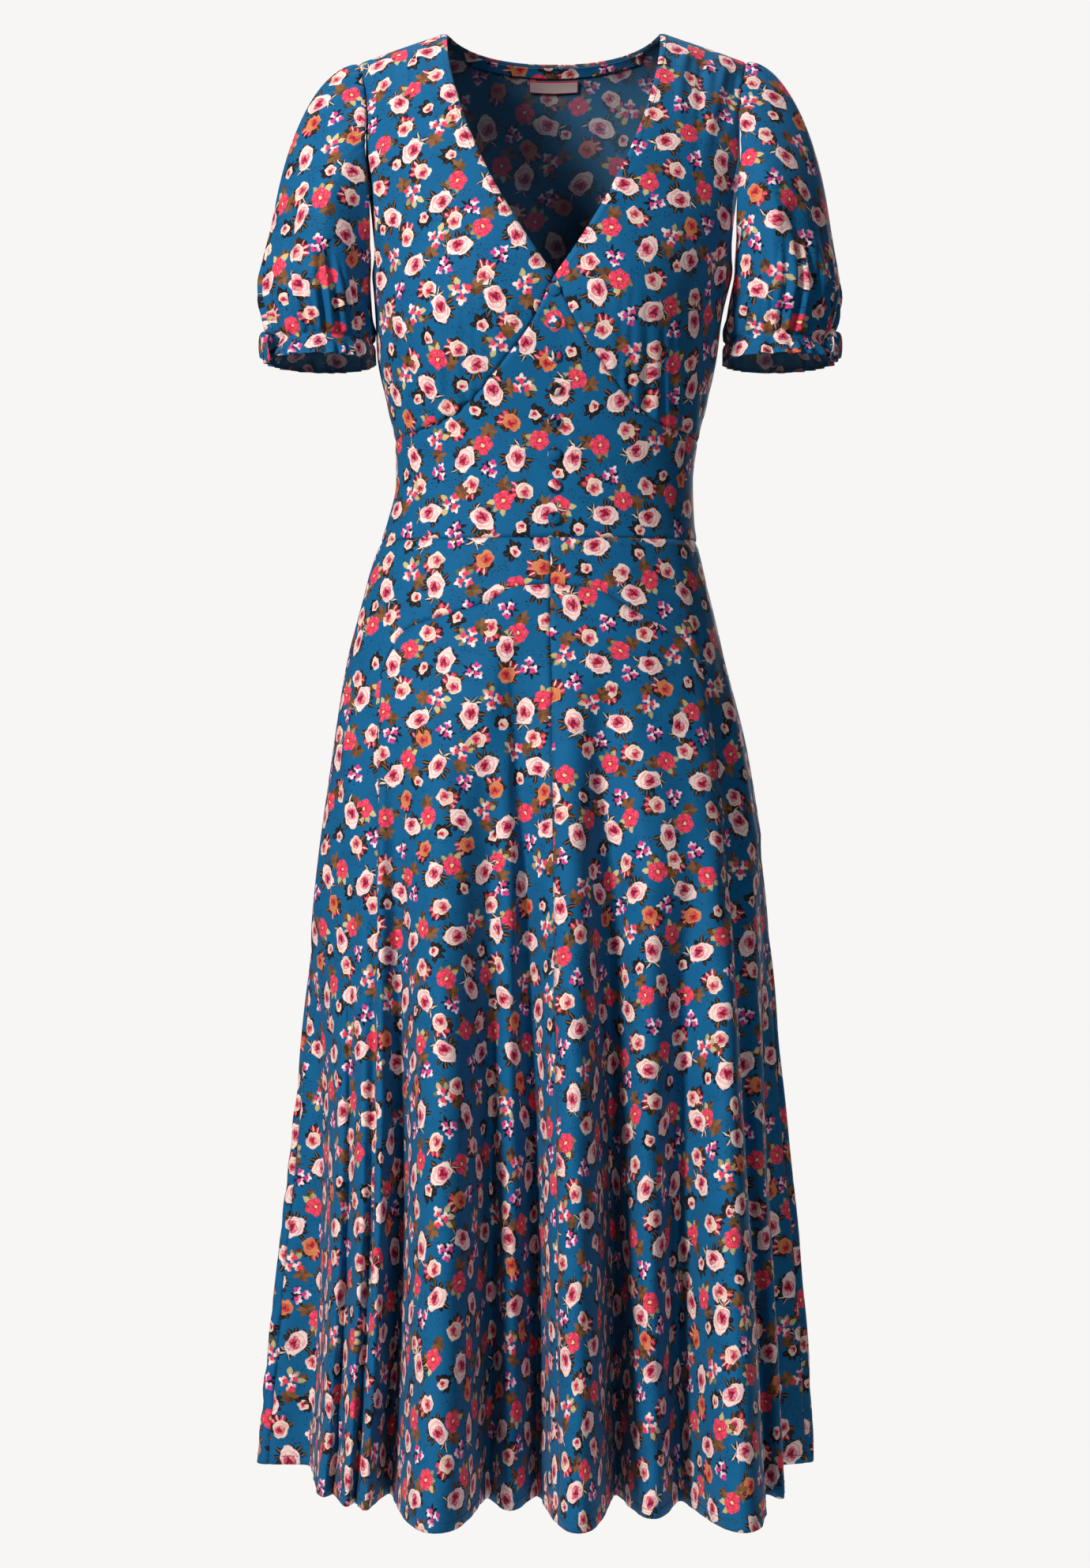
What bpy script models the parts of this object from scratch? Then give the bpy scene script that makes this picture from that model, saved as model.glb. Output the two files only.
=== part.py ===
"""A knee-length tea dress in woven viscose, filled out as if worn: a V-necked bodice on a shaped midriff,
short puff sleeves with tied cuffs, a hip yoke, and a flared skirt that falls in deep folds.

Metres, +Z up, front towards -Y. Left and right are the wearer's, so left is +X. The origin is the middle of
the line between the two neck points, where the shoulders carry the dress. Every panel is an open sheet cut
from one of two surfaces, the dress form and the folded skirt, and given a cloth wall by Solidify.
"""

import math

import bmesh
import bpy
import numpy as np
from mathutils import Matrix, Vector

CLOTH = 0.0012  # thickness of the cloth wall
SEAM = 0.0006  # gap between two panels at a seam
LAID = 0.0004  # gap under a thing that lies on a panel

NECK = 0.087  # half the width between the neck points
SLOPE = 0.33  # fall of the shoulder for each metre outwards
V_DEPTH = 0.2178  # neck points down to the bottom of the V
V_BOW = 1.8  # over 1 the edges of the V bow outwards
BACK_NECK = 0.0125  # neck points down to the back neck edge
UNDERARM = -0.205
MIDRIFF_SIDE = -0.337  # height of the under-bust seam at the sides and back
WAIST = -0.4185
WAIST_DIP = 0.004  # how much lower the waist seam lies at centre front than at the sides
HIP = -0.50  # the skirt starts to spread into its folds below this
YOKE_END = -0.5305  # where the yoke seam turns down the side panel
HEM = -1.18
CENTRE = 0.003  # the centre front line lies this far to the left

BUST_ACROSS = 0.075
BUST_HEIGHT = -0.235
BUST_SWELL = 0.013
BUST_SPREAD = 0.055

BUTTONS = 8
BUTTON_TOP = -0.230
BUTTON_PITCH = 0.02534
BUTTON_RADIUS = 0.0054
BUTTON_DOME = 0.0030

LABEL_WIDTH = 0.0415
LABEL_TOP = -0.0232
LABEL_DROP = 0.0092
FACING_DROP = 0.0075

CUFF_CENTRE = (0.186, -0.003, -0.252)
CUFF_HALF_WIDTH = 0.0405
CUFF_HALF_DEPTH = 0.056
FRILL_DROP = 0.020
FRILL_FLARE = 0.006

# Sections of the form. Half widths right and left of centre front, depths to the front and the back, and
# how square the section is: 2 is an ellipse. At height 0 the section closes to the shoulder seam.
FORM_COLUMNS = ("height", "right", "left", "front", "back", "square")
FORM = (
    (0.000, 0.1700, 0.1680, 0.0006, 0.0006, 2.0),
    (-0.003, 0.1700, 0.1680, 0.0150, 0.0260, 2.0),
    (-0.008, 0.1700, 0.1680, 0.0270, 0.0450, 2.0),
    (-0.015, 0.1700, 0.1680, 0.0380, 0.0580, 2.0),
    (-0.030, 0.1705, 0.1685, 0.0530, 0.0740, 2.0),
    (-0.060, 0.1710, 0.1690, 0.0730, 0.0900, 2.1),
    (-0.100, 0.1700, 0.1680, 0.0900, 0.1010, 2.2),
    (-0.150, 0.1600, 0.1580, 0.1040, 0.1060, 2.2),
    (-0.200, 0.1490, 0.1460, 0.1130, 0.1030, 2.2),
    (-0.235, 0.1465, 0.1375, 0.1150, 0.0980, 2.2),
    (-0.267, 0.1450, 0.1335, 0.1120, 0.0930, 2.2),
    (-0.304, 0.1375, 0.1257, 0.1040, 0.0860, 2.2),
    (-0.343, 0.1300, 0.1168, 0.0970, 0.0810, 2.2),
    (-0.370, 0.1295, 0.1138, 0.0945, 0.0800, 2.2),
    (-0.402, 0.1363, 0.1148, 0.0945, 0.0850, 2.2),
    (-0.441, 0.1505, 0.1228, 0.0985, 0.0970, 2.2),
    (-0.480, 0.1610, 0.1320, 0.1045, 0.1110, 2.2),
    (-0.519, 0.1705, 0.1410, 0.1125, 0.1240, 2.2),
    (-0.597, 0.1825, 0.1595, 0.1280, 0.1410, 2.2),
    (-0.753, 0.2005, 0.1805, 0.1580, 0.1690, 2.3),
    (-0.909, 0.2160, 0.1960, 0.1870, 0.1960, 2.4),
    (-1.065, 0.2335, 0.2125, 0.2140, 0.2190, 2.5),
    (-1.180, 0.2445, 0.2190, 0.2320, 0.2360, 2.6),
)

# Front and back armholes, from the shoulder down to the underarm: the turn from centre front or centre back
# and the height.
ARMHOLE_COLUMNS = ("share", "front_turn", "back_turn", "height")
ARMHOLE = (
    (0.00, 71.0, 71.0, 0.000),
    (0.16, 65.0, 67.5, -0.030),
    (0.36, 60.5, 65.5, -0.072),
    (0.56, 60.0, 66.0, -0.112),
    (0.75, 64.0, 70.0, -0.152),
    (0.90, 74.0, 78.0, -0.188),
    (1.00, 90.0, 90.0, UNDERARM),
)

# The under-bust seam, from the bottom of the V out towards the side.
UNDER_BUST_COLUMNS = ("across", "height")
UNDER_BUST = (
    (0.000, -V_DEPTH),
    (0.020, -0.260),
    (0.045, -0.291),
    (0.066, -0.313),
    (0.088, -0.327),
    (0.108, -0.333),
    (0.140, MIDRIFF_SIDE),
)

# The yoke seam, as a share of the way from centre front to the seam down the side panel.
YOKE_COLUMNS = ("share", "height")
YOKE = (
    (0.00, -0.4595),
    (0.30, -0.4650),
    (0.53, -0.4790),
    (0.72, -0.4910),
    (0.84, -0.5010),
    (1.00, YOKE_END),
)

# The skirt's folds, right round from the right side seam. Each has a crest and then a trough: the turn where
# it leaves the hips, its place in plan at the hem, the height where it starts, and how broad its crest is.
FOLD_COLUMNS = (
    "crest_turn", "crest_x", "crest_y", "trough_turn", "trough_x", "trough_y", "start", "round"
)
FOLDS = (
    (-96.0, -0.2430, 0.020, -78.0, -0.199, 0.004, -0.72, 2.3),
    (-70.0, -0.1830, -0.100, -64.0, -0.172, -0.096, -0.60, 1.3),
    (-58.0, -0.1600, -0.138, -53.0, -0.153, -0.124, YOKE_END, 1.1),
    (-48.5, -0.1430, -0.150, -42.0, -0.127, -0.096, -0.58, 1.1),
    (-29.0, -0.0880, -0.224, -17.5, -0.051, -0.112, -0.56, 2.1),
    (-13.5, -0.0310, -0.152, -10.0, -0.010, -0.104, -0.50, 1.4),
    (4.0, 0.0210, -0.224, 14.5, 0.051, -0.100, -0.54, 2.0),
    (24.0, 0.0770, -0.178, 34.0, 0.102, -0.120, -0.70, 1.7),
    (48.0, 0.1470, -0.222, 57.0, 0.169, -0.100, YOKE_END, 2.0),
    (66.0, 0.1840, -0.106, 76.0, 0.186, 0.000, -0.66, 1.3),
    (98.0, 0.2190, 0.030, 108.0, 0.182, 0.068, -0.70, 2.3),
    (116.0, 0.2040, 0.112, 124.0, 0.162, 0.112, -0.62, 2.0),
    (135.0, 0.1560, 0.192, 145.0, 0.110, 0.130, -0.58, 2.0),
    (157.0, 0.0800, 0.229, 168.0, 0.037, 0.136, -0.66, 2.0),
    (176.0, -0.0050, 0.234, 188.0, -0.046, 0.138, -0.56, 2.0),
    (202.0, -0.0900, 0.226, 214.0, -0.121, 0.132, -0.64, 2.0),
    (226.0, -0.1680, 0.188, 238.0, -0.170, 0.112, -0.57, 1.9),
    (247.0, -0.2200, 0.104, 256.0, -0.196, 0.066, -0.68, 1.9),
)
TROUGH_ROUND = 0.6  # under 1 the troughs are narrow

# Where the skirt's panels are joined, as a crest's or trough's number: even numbers are crests.
RIGHT_SIDE = 1 / 3
RIGHT_FOLD = 5 + 1 / 3
CENTRE_FRONT = 12 - 1 / 3
LEFT_FOLD = 17 - 1 / 3
LEFT_SIDE = 20 - 1 / 3
CENTRE_BACK = 28 + 1 / 3
ROUND = 2 * len(FOLDS)

# A sleeve's course from the armhole to the cuff: how far each control point lies from its end, outwards,
# to the front or back, and up.
SLEEVE_COLUMNS = ("course", "out_start", "side_start", "up_start", "out_end", "side_end", "up_end")
SLEEVE = (
    ("top", 0.047, 0.000, -0.002, 0.020, 0.000, 0.092),
    ("face", 0.030, 0.026, -0.024, 0.000, 0.020, 0.085),
    ("under", 0.003, 0.000, -0.012, 0.002, 0.000, 0.016),
)
SLEEVE_START_TOP = 0.0018
SLEEVE_START_UNDER = 0.0050

# The tie strip through the cuff, from one end over the knot to the other: along the cuff, outwards, up,
# its width and its thickness.
TIE_COLUMNS = ("along", "out", "up", "width", "thickness")
TIE = (
    (-0.0110, 0.0040, -0.0150, 0.0090, 0.0016),
    (-0.0085, 0.0046, -0.0100, 0.0085, 0.0018),
    (-0.0050, 0.0056, -0.0045, 0.0070, 0.0024),
    (0.0000, 0.0066, -0.0010, 0.0080, 0.0046),
    (0.0055, 0.0060, -0.0040, 0.0070, 0.0024),
    (0.0105, 0.0060, -0.0085, 0.0085, 0.0018),
    (0.0150, 0.0066, -0.0120, 0.0090, 0.0016),
)
TIE_TURN = 34.0

# How finely the panels are faceted. Pieces that meet at a seam have the same columns or rows there.
ARMHOLE_ROWS = 10
SIDE_ROWS = 4
FRONT_COLUMNS = 8
BACK_COLUMNS = 8
YOKE_ROWS = 2
HEM_ROWS = 7

COLOURS = {
    "printed_cloth": ((0.0090, 0.1170, 0.2650), 0.70),
    "button_cloth": ((0.0110, 0.1250, 0.2800), 0.60),
    "label_tape": ((0.8000, 0.7600, 0.7400), 0.80),
}


def smooth(table, columns, name, at, along=0):
    """One column of a table at the places given, on a smooth curve that never overshoots its rows."""
    rows = sorted(table, key=lambda row: row[along])
    x = np.array([row[along] for row in rows])
    y = np.array([row[columns.index(name)] for row in rows])
    step = np.diff(x)
    slope = np.diff(y) / step
    bend = slope[1:] * slope[:-1]
    tangent = np.concatenate([slope[:1], np.zeros(len(bend)), slope[-1:]])
    rising = bend > 0
    tangent[1:-1][rising] = 2 * bend[rising] / (slope[1:] + slope[:-1])[rising]
    at = np.clip(at, x[0], x[-1])
    i = np.clip(np.searchsorted(x, at) - 1, 0, len(x) - 2)
    t = (at - x[i]) / step[i]
    return (
        y[i] * (1 + 2 * t) * (1 - t) ** 2
        + y[i + 1] * t**2 * (3 - 2 * t)
        + step[i] * t * (1 - t) * (tangent[i] * (1 - t) - tangent[i + 1] * t)
    )


def ease(t):
    t = np.clip(t, 0, 1)
    return t * t * (3 - 2 * t)


def section(height, turn):
    """Half width, depth and squareness of the form at a height, on the side that the turn faces."""
    wide = np.where(
        np.sin(turn) < 0,
        smooth(FORM, FORM_COLUMNS, "right", height),
        smooth(FORM, FORM_COLUMNS, "left", height),
    )
    deep = np.where(
        np.cos(turn) > 0,
        smooth(FORM, FORM_COLUMNS, "front", height),
        smooth(FORM, FORM_COLUMNS, "back", height),
    )
    return wide, deep, smooth(FORM, FORM_COLUMNS, "square", height)


def rim(height, turn):
    """Plan position on the form's section, from centre front."""
    wide, deep, square = section(height, turn)
    across, out = np.sin(turn), np.cos(turn)
    reach = (np.abs(across) ** square + np.abs(out) ** square) ** (-1 / square)
    return wide * reach * across, -deep * reach * out


def form(turn, height):
    """A point of the dress form. Turn 0 is centre front, and positive turns go to the wearer's left."""
    turn, height = np.asarray(turn, float), np.asarray(height, float)
    x, y = rim(height, turn)
    near_bust = np.exp(-(((np.abs(x) - BUST_ACROSS) / BUST_SPREAD) ** 2))
    near_bust = near_bust * np.exp(-(((height - BUST_HEIGHT) / BUST_SPREAD) ** 2))
    y = y - BUST_SWELL * near_bust * np.clip(np.cos(turn), 0, 1)
    fall = SLOPE * np.clip(np.abs(x) - NECK, 0, None) * ease(1 + height / 0.16)
    return np.stack([x + CENTRE, y, height - fall], axis=-1)


def turn_at(across, height):
    """The turn on the front of the form at a distance from centre front."""
    wide, _, square = section(height, np.full_like(height, 0.1))
    q = np.clip(across / wide, 0, 1)
    return np.arctan2(q, (1 - q**square) ** (1 / square))


def fold_points():
    """Each crest's and trough's turn at the hips, its turn and reach at the hem, and its start."""
    points = []
    for row in FOLDS:
        fold = dict(zip(FOLD_COLUMNS, row))
        for end in ("crest", "trough"):
            turn = math.radians(fold[end + "_turn"])
            x, y = fold[end + "_x"] - CENTRE, fold[end + "_y"]
            wide, deep, square = (float(v) for v in section(HEM, np.array(turn)))
            hem_turn = math.atan2(x / wide, -y / deep)
            hem_turn += 2 * math.pi * round((turn - hem_turn) / (2 * math.pi))
            reach = (abs(x / wide) ** square + abs(y / deep) ** square) ** (1 / square)
            points.append((turn, hem_turn, reach, fold["start"], fold["round"] if end == "crest" else TROUGH_ROUND))
    return np.array(points)


FOLD_POINTS = fold_points()


def fold_point(number, height):
    """Plan position of a crest or trough at a height, and how broad it is there."""
    turn, hem_turn, reach, start, broad = np.moveaxis(FOLD_POINTS[number % ROUND], -1, 0)
    turn = turn + (hem_turn - turn) * ease((HIP - height) / (HIP - HEM)) ** 0.8
    grown = np.sin(np.clip((start - height) / (start - HEM), 0, 1) * math.pi / 2) ** 0.8
    x, y = rim(height, turn)
    reach = 1 + (reach - 1) * grown
    return np.stack([x * reach + CENTRE, y * reach], axis=-1), 1 + (broad - 1) * grown


def skirt(place, height):
    """A point of the folded skirt. Place counts crests and troughs round from the right side seam."""
    place, height = np.broadcast_arrays(np.asarray(place, float), np.asarray(height, float))
    first = np.floor(place + 1e-9).astype(int)
    t = (place - first)[..., None]
    points = [fold_point(first + k, height) for k in (-1, 0, 1, 2)]
    before, start, end, after = (p for p, _ in points)

    leave = (end - before) / 2 * points[1][1][..., None]
    arrive = (after - start) / 2 * points[2][1][..., None]
    plan = (
        start * (1 + 2 * t) * (1 - t) ** 2
        + end * t**2 * (3 - 2 * t)
        + leave * t * (1 - t) ** 2
        - arrive * t**2 * (1 - t)
    )
    return np.concatenate([plan, height[..., None]], axis=-1)


def patch(top, bottom, inner, outer, across, down):
    """Turns and heights between four edges, each a function of 0 to 1 that gives both."""
    u, v = np.asarray(across)[None, :, None], np.asarray(down)[:, None, None]
    sides = (1 - u) * inner(down)[:, None] + u * outer(down)[:, None]
    ends = (1 - v) * top(across)[None] + v * bottom(across)[None]
    corners = (1 - v) * ((1 - u) * inner(0.0) + u * outer(0.0))
    corners = corners + v * ((1 - u) * inner(1.0) + u * outer(1.0))
    both = sides + ends - corners
    return both[..., 0], both[..., 1]


def pairs(turn, height):
    return np.stack(np.broadcast_arrays(turn, height), axis=-1)


def neckline(share):
    """The front V edge, from the neck point to the bottom of the V."""
    share = np.asarray(share, float) ** 1.25
    height = -V_DEPTH * share
    return pairs(turn_at(NECK * (1 - share**V_BOW), height), height)


def shoulder_seam(share):
    near, far = turn_at(NECK, np.zeros(1))[0], math.radians(ARMHOLE[0][1])
    return pairs(near + (far - near) * np.asarray(share, float), 0.0)


ARMHOLE_SHARE = ARMHOLE_ROWS / (ARMHOLE_ROWS + SIDE_ROWS)


def armhole(share, face):
    """Turn from the centre and height along the front or back armhole."""
    turn = smooth(ARMHOLE, ARMHOLE_COLUMNS, face + "_turn", share)
    return pairs(np.radians(turn), smooth(ARMHOLE, ARMHOLE_COLUMNS, "height", share))


def armhole_and_side(face):
    def edge(share):
        share = np.asarray(share, float)
        down = np.clip((share - ARMHOLE_SHARE) / (1 - ARMHOLE_SHARE), 0, 1)
        above = armhole(np.clip(share / ARMHOLE_SHARE, 0, 1), face)
        side = pairs(math.pi / 2, UNDERARM + (MIDRIFF_SIDE - UNDERARM) * down)
        return np.where((down > 0)[..., None], side, above)

    return edge


def under_bust(share):
    """The seam under the bust, from the bottom of the V to the side seam."""
    turn = np.asarray(share, float) * math.pi / 2
    across = 0.14 * np.sin(turn)
    height = smooth(UNDER_BUST, UNDER_BUST_COLUMNS, "height", across)
    return pairs(turn, height)


def back_neck(share):
    """The back neck edge, from centre back to the neck point, as a turn from centre back."""
    share = np.asarray(share, float)
    return pairs(share * turn_at(NECK, np.zeros(1))[0], -BACK_NECK * (1 - share**2.4))


def back_top(share):
    share, neck_share = np.asarray(share, float), 0.5
    neck = back_neck(np.clip(share / neck_share, 0, 1))
    seam = shoulder_seam(np.clip((share - neck_share) / (1 - neck_share), 0, 1))
    return np.where((share <= neck_share)[..., None], neck, seam)


def sheet(name, points, material, closed=False, more=()):
    """A cloth wall on a grid of points, rows down and columns across, with any further grids joined to it."""
    mesh = bpy.data.meshes.new(name)
    model = bmesh.new()
    for grid in (points, *more):
        rows = [[model.verts.new(p) for p in row] for row in grid]
        width = len(rows[0])
        for above, below in zip(rows, rows[1:]):
            for k in range(width if closed else width - 1):
                after = (k + 1) % width
                model.faces.new((above[k], below[k], below[after], above[after]))
    bmesh.ops.remove_doubles(model, verts=model.verts, dist=1e-6)
    model.to_mesh(mesh)
    model.free()
    mesh.shade_smooth()
    made = bpy.data.objects.new(name, mesh)
    wall = made.modifiers.new("cloth", "SOLIDIFY")
    wall.thickness = CLOTH
    wall.offset = 0
    return finished(made, material)


def finished(made, material):
    colour, roughness = COLOURS[material]
    finish = bpy.data.materials.new(made.name + "_" + material)
    finish.use_nodes = True
    shader = finish.node_tree.nodes["Principled BSDF"]
    shader.inputs["Base Color"].default_value = (*colour, 1)
    shader.inputs["Roughness"].default_value = roughness
    made.data.materials.clear()
    made.data.materials.append(finish)
    dress.objects.link(made)
    return made


def panel(turn, height, face, side=1):
    """Points of a bodice panel, kept clear of the shoulder and side seams."""
    back = face == "back"
    turn = math.pi - turn if back else turn
    points = form(side * turn, height)
    points[..., 1] += SEAM / 2 if back else -SEAM / 2
    return points if side > 0 else points[:, ::-1]


def raised(points, row, by):
    points[row, :, 2] += by
    return points


def waist(y):
    """Height of the waist seam where it lies this far to the front or back."""
    front = FORM[[row[0] for row in FORM].index(-0.402)][3]
    return WAIST - WAIST_DIP * np.clip(-y / front, 0, 1)


def build_bodice():
    """Returns the back panel's points, which the facing and the label lie on."""
    across = np.linspace(0, 1, FRONT_COLUMNS + 1)
    down = np.linspace(0, 1, ARMHOLE_ROWS + SIDE_ROWS + 1)
    turn, height = patch(
        shoulder_seam, under_bust, neckline, armhole_and_side("front"), across, down
    )
    for side, name in ((1, "bodice_front_left"), (-1, "bodice_front_right")):
        points = raised(panel(turn, height, "front", side), -1, SEAM)
        # The two fronts stop short of each other at the bottom of the V.
        points[-1, 0 if side > 0 else -1, 0] += side * SEAM
        sheet(name, points, "printed_cloth")

    across = np.linspace(0, 1, BACK_COLUMNS + 1)

    def centre_back(share):
        top = -BACK_NECK
        return pairs(0.0, top + (MIDRIFF_SIDE - top) * np.asarray(share, float))

    def bottom(share):
        return pairs(np.asarray(share, float) * math.pi / 2, MIDRIFF_SIDE)

    turn, height = patch(back_top, bottom, centre_back, armhole_and_side("back"), across, down)
    half = panel(turn, height, "back", 1)
    other = panel(turn, height, "back", -1)
    points = np.concatenate([half[:, ::-1], other[:, ::-1][:, 1:]], axis=1)
    sheet("bodice_back", raised(points, -1, SEAM / 2), "printed_cloth")
    return points


def build_midriff():
    """Returns the front panel's points, which the buttons lie on."""
    share = np.linspace(0, 1, 5)[:, None]
    turn = np.linspace(-math.pi / 2, math.pi / 2, 2 * FRONT_COLUMNS + 1)
    top = under_bust(np.abs(turn) / (math.pi / 2))[:, 1] - SEAM / 2
    bottom = waist(rim(WAIST, turn)[1]) + SEAM / 2
    points = form(turn[None], top + (bottom - top) * share)
    points[..., 1] -= SEAM / 2
    sheet("midriff_front", points, "printed_cloth")
    front = points

    turn = np.linspace(math.pi / 2, 3 * math.pi / 2, 2 * BACK_COLUMNS + 1)
    top = MIDRIFF_SIDE - SEAM / 2
    points = form(turn[None], top + (WAIST + SEAM / 2 - top) * share)
    points[..., 1] += SEAM / 2
    sheet("midriff_back", points, "printed_cloth")
    return front


def fold_places(first, last):
    """Columns between two seams: one on each crest and trough, and two between."""
    first, last = round(3 * first), round(3 * last)
    return np.arange(first, last + 1) / 3


def drawn_back(points, column, beside):
    """The points with one outer column drawn back from its seam, towards the column beside it."""
    way = points[:, beside] - points[:, column]
    points[:, column] += way / np.linalg.norm(way, axis=-1, keepdims=True) * SEAM / 2
    return points


def skirt_rows(top, rows):
    return top + (HEM - top) * np.linspace(0, 1, rows + 1)[:, None]


def yoke_height(places, fold):
    share = (places - CENTRE_FRONT) / (fold - CENTRE_FRONT)
    return smooth(YOKE, YOKE_COLUMNS, "height", share)


def waist_at(places):
    return waist(skirt(places, WAIST)[:, 1]) - SEAM / 2


def build_skirt_front(name, side, fold):
    """The yoke with the side panel below it, as one piece, and the flared panel set in between."""
    upper = np.linspace(0, 1, YOKE_ROWS + 1)[:, None]
    yoke = fold_places(*sorted((CENTRE_FRONT, fold)))
    beyond = fold_places(*sorted((fold, side)))
    seam = yoke_height(yoke, fold)
    top = waist_at(yoke)
    strip = skirt(yoke[None], top + (seam + SEAM / 2 - top) * upper)
    top = waist_at(beyond)
    above = top + (YOKE_END + SEAM / 2 - top) * upper
    below = skirt_rows(np.full(len(beyond), YOKE_END + SEAM / 2), HEM_ROWS)[1:]
    flank = skirt(beyond[None], np.concatenate([above, below]))

    # The strip and the flank share one column, down to where the yoke ends.
    if fold < CENTRE_FRONT:
        middle, shared, outer, inner, edge = -1, 0, 0, -2, -1
    else:
        middle, shared, outer, inner, edge = 0, -1, -1, 1, 0
    strip = drawn_back(strip, middle, middle + (1 if middle == 0 else -1))
    flank = drawn_back(flank, outer, outer + (1 if outer == 0 else -1))
    kept = len(upper)
    flank[kept:] = drawn_back(flank[kept:], edge, inner)
    strip[:, shared] = flank[:kept, edge]
    sheet("skirt_side_" + name, strip, "printed_cloth", more=[flank])

    points = skirt(yoke[None], skirt_rows(seam - SEAM / 2, HEM_ROWS))
    points = drawn_back(drawn_back(points, 0, 1), -1, -2)
    sheet("skirt_front_" + name, points, "printed_cloth")


def build_skirt():
    build_skirt_front("right", RIGHT_SIDE, RIGHT_FOLD)
    build_skirt_front("left", LEFT_SIDE, LEFT_FOLD)
    backs = (("left", LEFT_SIDE, CENTRE_BACK), ("right", CENTRE_BACK, ROUND + RIGHT_SIDE))
    for name, first, last in backs:
        places = fold_places(first, last)
        top = waist_at(places)
        above = top + (YOKE_END - top) * np.linspace(0, 1, YOKE_ROWS + 1)[:, None]
        below = skirt_rows(np.full(len(places), YOKE_END), HEM_ROWS)[1:]
        points = skirt(places[None], np.concatenate([above, below]))
        points = drawn_back(drawn_back(points, 0, 1), -1, -2)
        sheet("skirt_back_" + name, points, "printed_cloth")


def armhole_ring(side):
    """The armhole edge from the shoulder down the front to the underarm and up the back."""
    share = np.linspace(0, 1, ARMHOLE_ROWS + 1)
    front, back = (
        armhole(share, face)[None] for face in ("front", "back")
    )
    down = panel(front[..., 0], front[..., 1], "front", side).reshape(-1, 3)
    up = panel(back[..., 0], back[..., 1], "back", side).reshape(-1, 3)
    if side < 0:
        down, up = down[::-1], up[::-1]
    ends = (down[0] + up[0]) / 2, (down[-1] + up[-1]) / 2
    return np.array([ends[0], *down[1:-1], ends[1], *up[1:-1][::-1]])


def cuff_ring(side, out=0.0, drop=0.0):
    turn = np.linspace(0, 2 * math.pi, 2 * ARMHOLE_ROWS, endpoint=False)
    x = CUFF_CENTRE[0] + (CUFF_HALF_WIDTH + out) * np.cos(turn)
    y = CUFF_CENTRE[1] - (CUFF_HALF_DEPTH + out) * np.sin(turn)
    return np.stack([side * x, y, np.full_like(x, CUFF_CENTRE[2] - drop)], axis=-1)


def build_sleeve(side, name):
    start, end = armhole_ring(side), cuff_ring(side)
    turn = np.linspace(0, 2 * math.pi, len(start), endpoint=False)
    start[:, 0] += side * (
        SLEEVE_START_TOP + (SLEEVE_START_UNDER - SLEEVE_START_TOP) * (1 - np.cos(turn)) / 2
    )
    top = np.clip(np.cos(turn), 0, 1) ** 1.5
    under = np.clip(-np.cos(turn), 0, 1) ** 1.5
    face = 1 - top - under
    rows = {row[0]: row for row in SLEEVE}

    def pull(column):
        at = SLEEVE_COLUMNS.index(column)
        return top * rows["top"][at] + face * rows["face"][at] + under * rows["under"][at]

    def offset(which):
        out = side * pull("out_" + which)
        along = -np.sin(turn) * pull("side_" + which)
        return np.stack([out, along, pull("up_" + which)], axis=-1)

    second, third = start + offset("start"), end + offset("end")
    t = np.linspace(0, 1, 8)[:, None, None]
    points = (
        start * (1 - t) ** 3
        + 3 * second * t * (1 - t) ** 2
        + 3 * third * t**2 * (1 - t)
        + end * t**3
    )
    frill = cuff_ring(side, FRILL_FLARE, FRILL_DROP)
    # The frill keeps clear of the bodice, so it flares less on the inner side.
    frill[:, 0] += side * FRILL_FLARE * under
    points = np.concatenate([points, frill[None]])
    sheet(name, points if side < 0 else points[:, ::-1], "printed_cloth", closed=True)


def build_tie(side, name):
    """A flat strip with a knot in its middle, swept along its course just outside the cuff."""
    turn = math.radians(TIE_TURN)
    centre = Vector(
        (
            side * (CUFF_CENTRE[0] + CUFF_HALF_WIDTH * math.cos(turn)),
            CUFF_CENTRE[1] - CUFF_HALF_DEPTH * math.sin(turn),
            CUFF_CENTRE[2] - 0.004,
        )
    )
    out = Vector((side * math.cos(turn) / CUFF_HALF_WIDTH, -math.sin(turn) / CUFF_HALF_DEPTH, 0))
    out.normalize()
    along = Vector((0, 0, 1)).cross(out) * side
    course = [
        centre + along * row[0] + out * (row[1] + FRILL_FLARE) + Vector((0, 0, row[2])) for row in TIE
    ]
    model = bmesh.new()
    rings = []
    for k, (point, row) in enumerate(zip(course, TIE)):
        way = (course[min(k + 1, len(TIE) - 1)] - course[max(k - 1, 0)]).normalized()
        flat = out - way * out.dot(way)
        flat.normalize()
        broad = way.cross(flat)
        ring = [
            model.verts.new(point + broad * row[3] / 2 * math.cos(a) + flat * row[4] / 2 * math.sin(a))
            for a in np.linspace(0, 2 * math.pi, 8, endpoint=False)
        ]
        rings.append(ring)
    for one, two in zip(rings, rings[1:]):
        for k in range(8):
            model.faces.new((one[k], one[(k + 1) % 8], two[(k + 1) % 8], two[k]))
    model.faces.new(rings[0][::-1])
    model.faces.new(rings[-1])
    bmesh.ops.recalc_face_normals(model, faces=model.faces)
    mesh = bpy.data.meshes.new(name)
    model.to_mesh(mesh)
    model.free()
    mesh.shade_smooth()
    finished(bpy.data.objects.new(name, mesh), "printed_cloth")


def on_panel(points, row, column):
    """A point of a panel's facets, at a row and column that need not be whole."""
    r, c = int(min(row, len(points) - 2)), int(min(column, len(points[0]) - 2))
    u, v = column - c, row - r
    if v < u:
        turning = points[r, c + 1]
    else:
        turning = points[r + 1, c]
    first, last = points[r, c], points[r + 1, c + 1]
    near, far = min(u, v), max(u, v)
    return first * (1 - far) + turning * (far - near) + last * near


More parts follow.
